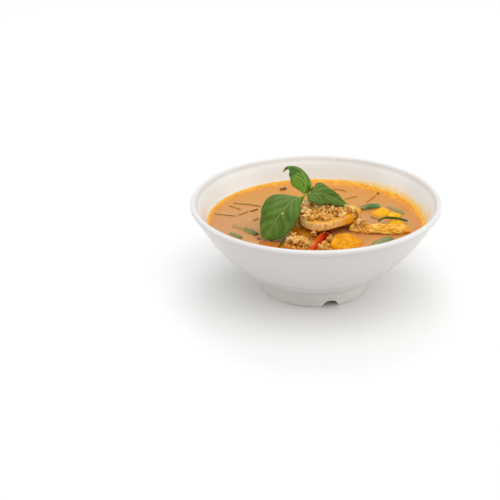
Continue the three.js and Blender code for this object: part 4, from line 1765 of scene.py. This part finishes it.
@dataclass(frozen=True)
class Morsel:
    """A piece of food that keeps its solid's form, with cuts, a relief and a finish of its own."""

    node: str
    slot: str
    finish: WetFlesh | StainedSlice
    reliefs: tuple[Relief, ...]
    voxel: float = 0.4 * MM
    smoothing: int = 6
    swell: float = 0.0
    cuts: tuple[KnifeCut, ...] = ()

    def build(self) -> bpy.types.Object:
        """Models and dresses the morsel.

        Returns:
            The morsel.
        """
        piece = fattened(refined(self.node, self.voxel, self.smoothing), self.swell)
        for cut in self.cuts:
            cut.across(piece, self.node)
        if self.cuts:
            modified(piece, "REMESH", mode="VOXEL", voxel_size=self.voxel)
            modified(piece, "SMOOTH", factor=0.5, iterations=2)
        return settled(roughened(piece, *self.reliefs), self.finish.made(), self.slot, self.node)


def morsels() -> list[Morsel]:
    """The slices and chunks in the curry, from the middle outwards.

    Returns:
        The morsels, not yet built.
    """
    pumpkin = dict(
        light=srgb(246, 184, 8), middle=srgb(230, 151, 0), dark=srgb(206, 116, 0), film=srgb(210, 120, 4)
    )
    bright = dict(
        light=srgb(255, 208, 10), middle=srgb(246, 182, 0), dark=srgb(226, 146, 0), film=srgb(214, 124, 4)
    )
    chunk_relief = (
        Relief(0.35 * MM, 4.4 * MM, seed=9),
        Relief(0.3 * MM, 1.8 * MM, seed=5),
        Relief(0.14 * MM, 0.7 * MM),
    )
    wedge_relief = (Relief(0.2 * MM, 3 * MM, seed=9), Relief(0.1 * MM, 0.8 * MM))
    wedge = (
        KnifeCut((0.85, 0.5, 0.98), (-0.3, -0.3, 1)), KnifeCut((0.9, 0.4, 0.5), (1, -0.25, 0.1)),
        KnifeCut((0.5, 0.1, 0.6), (-0.1, -1, 0.1)),
    )
    return [
        Morsel(
            "pale_slice", "pale_flesh", StainedSlice(),
            (Relief(0.6 * MM, 9 * MM, seed=1), Relief(0.16 * MM, 1.5 * MM, (1, 1, 3), seed=4)),
            smoothing=14, swell=0.15 * MM,
        ),
        Morsel(
            "brown_slice", "brown_flesh",
            WetFlesh(
                "brown_flesh", srgb(206, 136, 18), srgb(188, 116, 8), srgb(150, 84, 0), size=8.0,
                roughness=0.34,
            ),
            (Relief(0.35 * MM, 6 * MM, seed=3), Relief(0.06 * MM, 1.2 * MM, seed=1)),
        ),
        Morsel(
            "amber_slice", "amber_flesh",
            WetFlesh(
                "amber_flesh", srgb(206, 128, 4), srgb(184, 100, 0), srgb(146, 72, 0), size=6.0,
                roughness=0.3, film=srgb(190, 108, 4),
            ),
            (Relief(0.4 * MM, 5 * MM, seed=6), Relief(0.1 * MM, 1.4 * MM, seed=2)),
        ),
        Morsel(
            "pumpkin_chunk", "pumpkin_flesh", WetFlesh("pumpkin_flesh", **pumpkin), chunk_relief,
            smoothing=12, swell=0.4 * MM,
            cuts=(
                KnifeCut((0.4, 0.6, 0.97), (0.22, -0.2, 1)), KnifeCut((0.93, 0.3, 0.5), (1, -0.3, 0.3)),
                KnifeCut((0.3, 0.86, 0.9), (-0.35, 1, 0.8)),
            ),
        ),
        Morsel(
            "chicken_strip", "chicken_meat",
            WetFlesh(
                "chicken_meat", srgb(255, 222, 138), srgb(246, 184, 60), srgb(212, 126, 12),
                size=3.0, stretch=(2.0, 1, 1), fibre=0.2,
            ),
            (
                Relief(1.3 * MM, 4.6 * MM, seed=7),
                Relief(0.5 * MM, 1.8 * MM, (1.8, 1, 1), ridged=True, seed=3),
                Relief(0.16 * MM, 0.8 * MM, (2.4, 1, 1), seed=5),
            ),
            voxel=0.3 * MM,
        ),
        *[
            Morsel(
                f"yellow_chunk_{i}", "pumpkin_flesh",
                WetFlesh(f"yellow_flesh_{i}", size=4.0, film_rise=rise, **bright), relief,
                voxel=0.3 * MM, smoothing=5, swell=0.4 * MM, cuts=cuts,
            )
            for i, rise, relief, cuts in (
                (1, 0.7, wedge_relief, wedge), (2, 1.5, chunk_relief, ()), (3, 1.5, chunk_relief, ())
            )
        ],
    ]


@dataclass
class PepperStrip:
    """The strip of red pepper that hangs from under the slice into the curry."""

    width: float = 5.8 * MM
    relief: Relief = Relief(0.25 * MM, 4 * MM, seed=4)

    def build(self) -> bpy.types.Object:
        """Models the strip and marks it across, from its flesh to its skin.

        Returns:
            The strip.
        """
        piece = roughened(refined("pepper_strip", FINE_VOXEL, 8), self.relief)
        low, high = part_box("pepper_strip")
        upper = Vector((high.x - 0.5 * self.width, high.y, 0))
        lower = Vector((low.x + 0.5 * self.width, low.y, 0))
        side = (upper - lower).normalized().cross(Vector((0, 0, 1)))
        across = piece.data.attributes.new("across", "FLOAT", "POINT")
        for vertex, mark in zip(piece.data.vertices, across.data):
            offset = (vertex.co - lower).dot(side)
            mark.value = 0.5 + 0.5 * offset / self.width
        return settled(piece, PepperSkin().made(), "pepper_flesh", "pepper_strip")


@dataclass(frozen=True)
class CutBean:
    """A cut length of green bean, pinched a little over its seeds."""

    node: str
    finish: BeanSkin
    swell: float
    seeds: Relief = Relief(0.3 * MM, 4 * MM, seed=2)
    wrinkles: Relief = Relief(0.12 * MM, 1.1 * MM, seed=6)

    def build(self) -> bpy.types.Object:
        """Models the bean, marks it along from its left end to its right end, and dresses it.

        Returns:
            The bean.
        """
        piece = fattened(refined(self.node, FINE_VOXEL, 8), self.swell)
        roughened(piece, self.seeds, self.wrinkles)
        low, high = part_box(self.node)
        along = piece.data.attributes.new("along", "FLOAT", "POINT")
        for vertex, mark in zip(piece.data.vertices, along.data):
            mark.value = (vertex.co.x - low.x) / (high.x - low.x)
        return settled(piece, self.finish.made(), "bean_green", self.node)


def beans() -> list[CutBean]:
    """The cut beans, from the clean one at the back to those under a film of curry.

    Returns:
        The beans, not yet built.
    """
    green, dark = srgb(108, 142, 76), srgb(76, 116, 54)
    grey, dusk = srgb(132, 150, 98), srgb(104, 130, 80)
    faded, pale = srgb(150, 154, 92), srgb(122, 134, 76)
    olive, moss = srgb(128, 138, 78), srgb(96, 112, 52)
    return [
        CutBean(f"bean_{place}", BeanSkin(f"bean_{place}_skin", skin, shade, tip, cover, bare), swell * MM)
        for place, skin, shade, tip, cover, bare, swell in (
            ("back", green, dark, srgb(92, 144, 84), 0.5, 0.8, 0.4),
            ("front", grey, dusk, srgb(104, 128, 80), 0.52, 0.2, 0.4),
            ("right", faded, pale, srgb(118, 126, 86), 0.6, 0.3, 0.6),
            ("left", olive, moss, srgb(70, 92, 28), 0.74, 0.6, 0.6),
            ("edge", olive, dusk, srgb(84, 108, 64), 0.5, 0.3, 0.5),
        )
    ]


class ShredKind(Enum):
    """What a shred is and how it shows."""

    BARE = "shred_green"
    SUNK = "shred_sunk"
    CHILLI = "chilli_red"
    HERB = "dark_herb"


@dataclass
class Shreds:
    """Fine shreds of lime leaf, a thread of chilli and dark bits of herb on the curry."""

    bevel: float = 0.12 * MM
    swell: float = 0.02 * MM
    thick: str = "shred_arched"
    thick_swell: float = 0.22 * MM

    def finishes(self) -> dict[ShredKind, bpy.types.Material]:
        """Makes the finish of each kind.

        Returns:
            The materials.
        """
        curry = srgb(200, 138, 78)
        return {
            ShredKind.BARE: LimeShred("shred_green", srgb(34, 86, 0), srgb(84, 118, 10), 0.25).made(),
            ShredKind.SUNK: LimeShred("shred_sunk", srgb(146, 138, 66), curry, 0.55).made(),
            ShredKind.CHILLI: LimeShred("chilli_red", srgb(190, 84, 54), curry, 0.5).made(),
            ShredKind.HERB: LimeShred("dark_herb", srgb(92, 60, 60), srgb(160, 112, 78), 0.6).made(),
        }

    def build(self) -> None:
        """Rounds and dresses every shred."""
        finishes = self.finishes()
        for entry in frame["record"]["subparts"]:
            kinds = [kind for kind in ShredKind if kind.value == entry["material_slot"]]
            if not kinds:
                continue
            node = entry["node"]
            mesh = frame["nodes"][node].data.copy()
            piece = bpy.data.objects.new(f"fine_{node}", mesh)
            bpy.context.scene.collection.objects.link(piece)
            with editing(piece):
                bpy.ops.mesh.select_all(action="SELECT")
                bpy.ops.mesh.remove_doubles(threshold=WELD)
                bpy.ops.mesh.tris_convert_to_quads()
            modified(piece, "BEVEL", width=self.bevel, segments=1)
            modified(piece, "SUBSURF", levels=2, render_levels=2)
            fattened(piece, self.thick_swell if node == self.thick else self.swell)
            settled(piece, finishes[kinds[0]], kinds[0].value, node)


# ---------------------------------------------------------------- studio


@dataclass(frozen=True)
class Window:
    """A soft square light. Its share is how bright it alone makes a white card that faces it."""

    name: str
    place: tuple[float, float, float]
    size: float
    share: float
    tint: tuple[float, float, float]


@dataclass
class Studio:
    """The plain pale floor, soft lights and the camera at the photograph's angle."""

    camera_place: Vector = Vector((-50.02, -898.29, 446.97)) * MM
    pitch: float = math.radians(24.952)
    roll: float = math.radians(-0.857)
    lens: float = 92.81
    nearest: float = 0.05
    sky: float = 0.5
    sky_colour: Colour = (1.0, 0.99, 0.98, 1.0)
    floor_size: float = 8.0
    sweep_height: float = 3.0
    ceiling_source: Vector = Vector((0.1, -0.35, 1))
    ceiling_share: float = 0.45
    ceiling_spread: float = math.radians(70)
    windows: tuple[Window, ...] = (
        Window("back_window", (0.0, 0.6, 1.0), 0.5, 0.16, (0.93, 0.97, 1)),
        Window("left_window", (-1.2, 0.1, 0.6), 0.7, 0.12, (0.98, 0.99, 1)),
        Window("right_window", (1.25, -0.1, 0.34), 1.0, 0.25, (1, 0.995, 0.985)),
    )

    def floor(self) -> None:
        """Lays the floor, with a soft upward sweep far behind."""
        bpy.ops.mesh.primitive_plane_add(size=self.floor_size)
        floor = named("floor")
        with editing(floor) as mesh:
            for edge in mesh.edges:
                edge.select = all(vertex.co.y > 0 for vertex in edge.verts)
            bpy.ops.mesh.extrude_region_move(TRANSFORM_OT_translate={"value": (0, 0, self.sweep_height)})
        floor.data.materials.append(PaleFloor().made())
        floor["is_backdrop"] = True

    def hang(self, window: Window) -> None:
        """Hangs one soft square light that points at the bowl.

        Args:
            window: the light.
        """
        way = Vector((0, 0, CURRY_LEVEL)) - Vector(window.place)
        bpy.ops.object.light_add(type="AREA", location=window.place)
        lamp = bpy.context.active_object
        lamp.name = window.name
        lamp.data.size = window.size
        lamp.data.energy = window.share * (math.pi * way.length) ** 2
        lamp.data.color = window.tint
        lamp.rotation_euler = way.to_track_quat("-Z", "Y").to_euler()

    def ceiling(self) -> None:
        """Lights everything evenly and softly from above."""
        bpy.ops.object.light_add(type="SUN")
        lamp = bpy.context.active_object
        lamp.name = "ceiling"
        lamp.data.energy = self.ceiling_share * math.pi
        lamp.data.angle = self.ceiling_spread
        lamp.rotation_euler = (-self.ceiling_source).to_track_quat("-Z", "Y").to_euler()

    def backdrop(self) -> None:
        """Surrounds the scene with a soft white."""
        world = bpy.data.worlds.new("soft_white")
        bpy.context.scene.world = world
        world.use_nodes = True
        backdrop = world.node_tree.nodes["Background"]
        backdrop.inputs["Color"].default_value = self.sky_colour
        backdrop.inputs["Strength"].default_value = self.sky

    def camera(self) -> None:
        """Puts the camera where the photograph was taken from."""
        bpy.ops.object.camera_add(location=self.camera_place)
        camera = bpy.context.active_object
        camera.name = "photo_view"
        camera.data.lens = self.lens
        camera.data.clip_start = self.nearest
        level = Matrix.Rotation(math.radians(90) - self.pitch, 4, "X")
        camera.rotation_euler = (level @ Matrix.Rotation(self.roll, 4, "Z")).to_euler()
        bpy.context.scene.camera = camera

    def build(self) -> None:
        """Sets up the studio."""
        bpy.context.scene.view_settings.view_transform = "Standard"
        self.backdrop()
        self.floor()
        self.ceiling()
        for window in self.windows:
            self.hang(window)
        self.camera()


def main() -> None:
    """Builds the studio and every piece of the bowl of curry in order, and reports each piece."""
    logging.basicConfig(level=logging.INFO, format="%(relativeCreated)6d ms  %(message)s")
    Studio().build()
    bowl = NoodleBowl()
    bowl.build()
    dry = ("bowl", "curry", "pale_slice", "sprig_bud", "sprig_stem")
    afloat = (node for node in sorted(frame["nodes"]) if node not in dry and "leaf_" not in node)
    Curry(bowl, tuple(afloat)).build()
    for morsel in morsels():
        morsel.build()
    PepperStrip().build()
    for bean in beans():
        bean.build()
    Shreds().build()
    CrushedPeanuts().build()
    BasilSprig().build()
    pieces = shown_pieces()
    for piece in pieces:
        LOG.info("%s: %d faces", piece.name, len(piece.data.polygons))
    LOG.info("%d pieces in all", len(pieces))


if __name__ == "__main__":
    main()
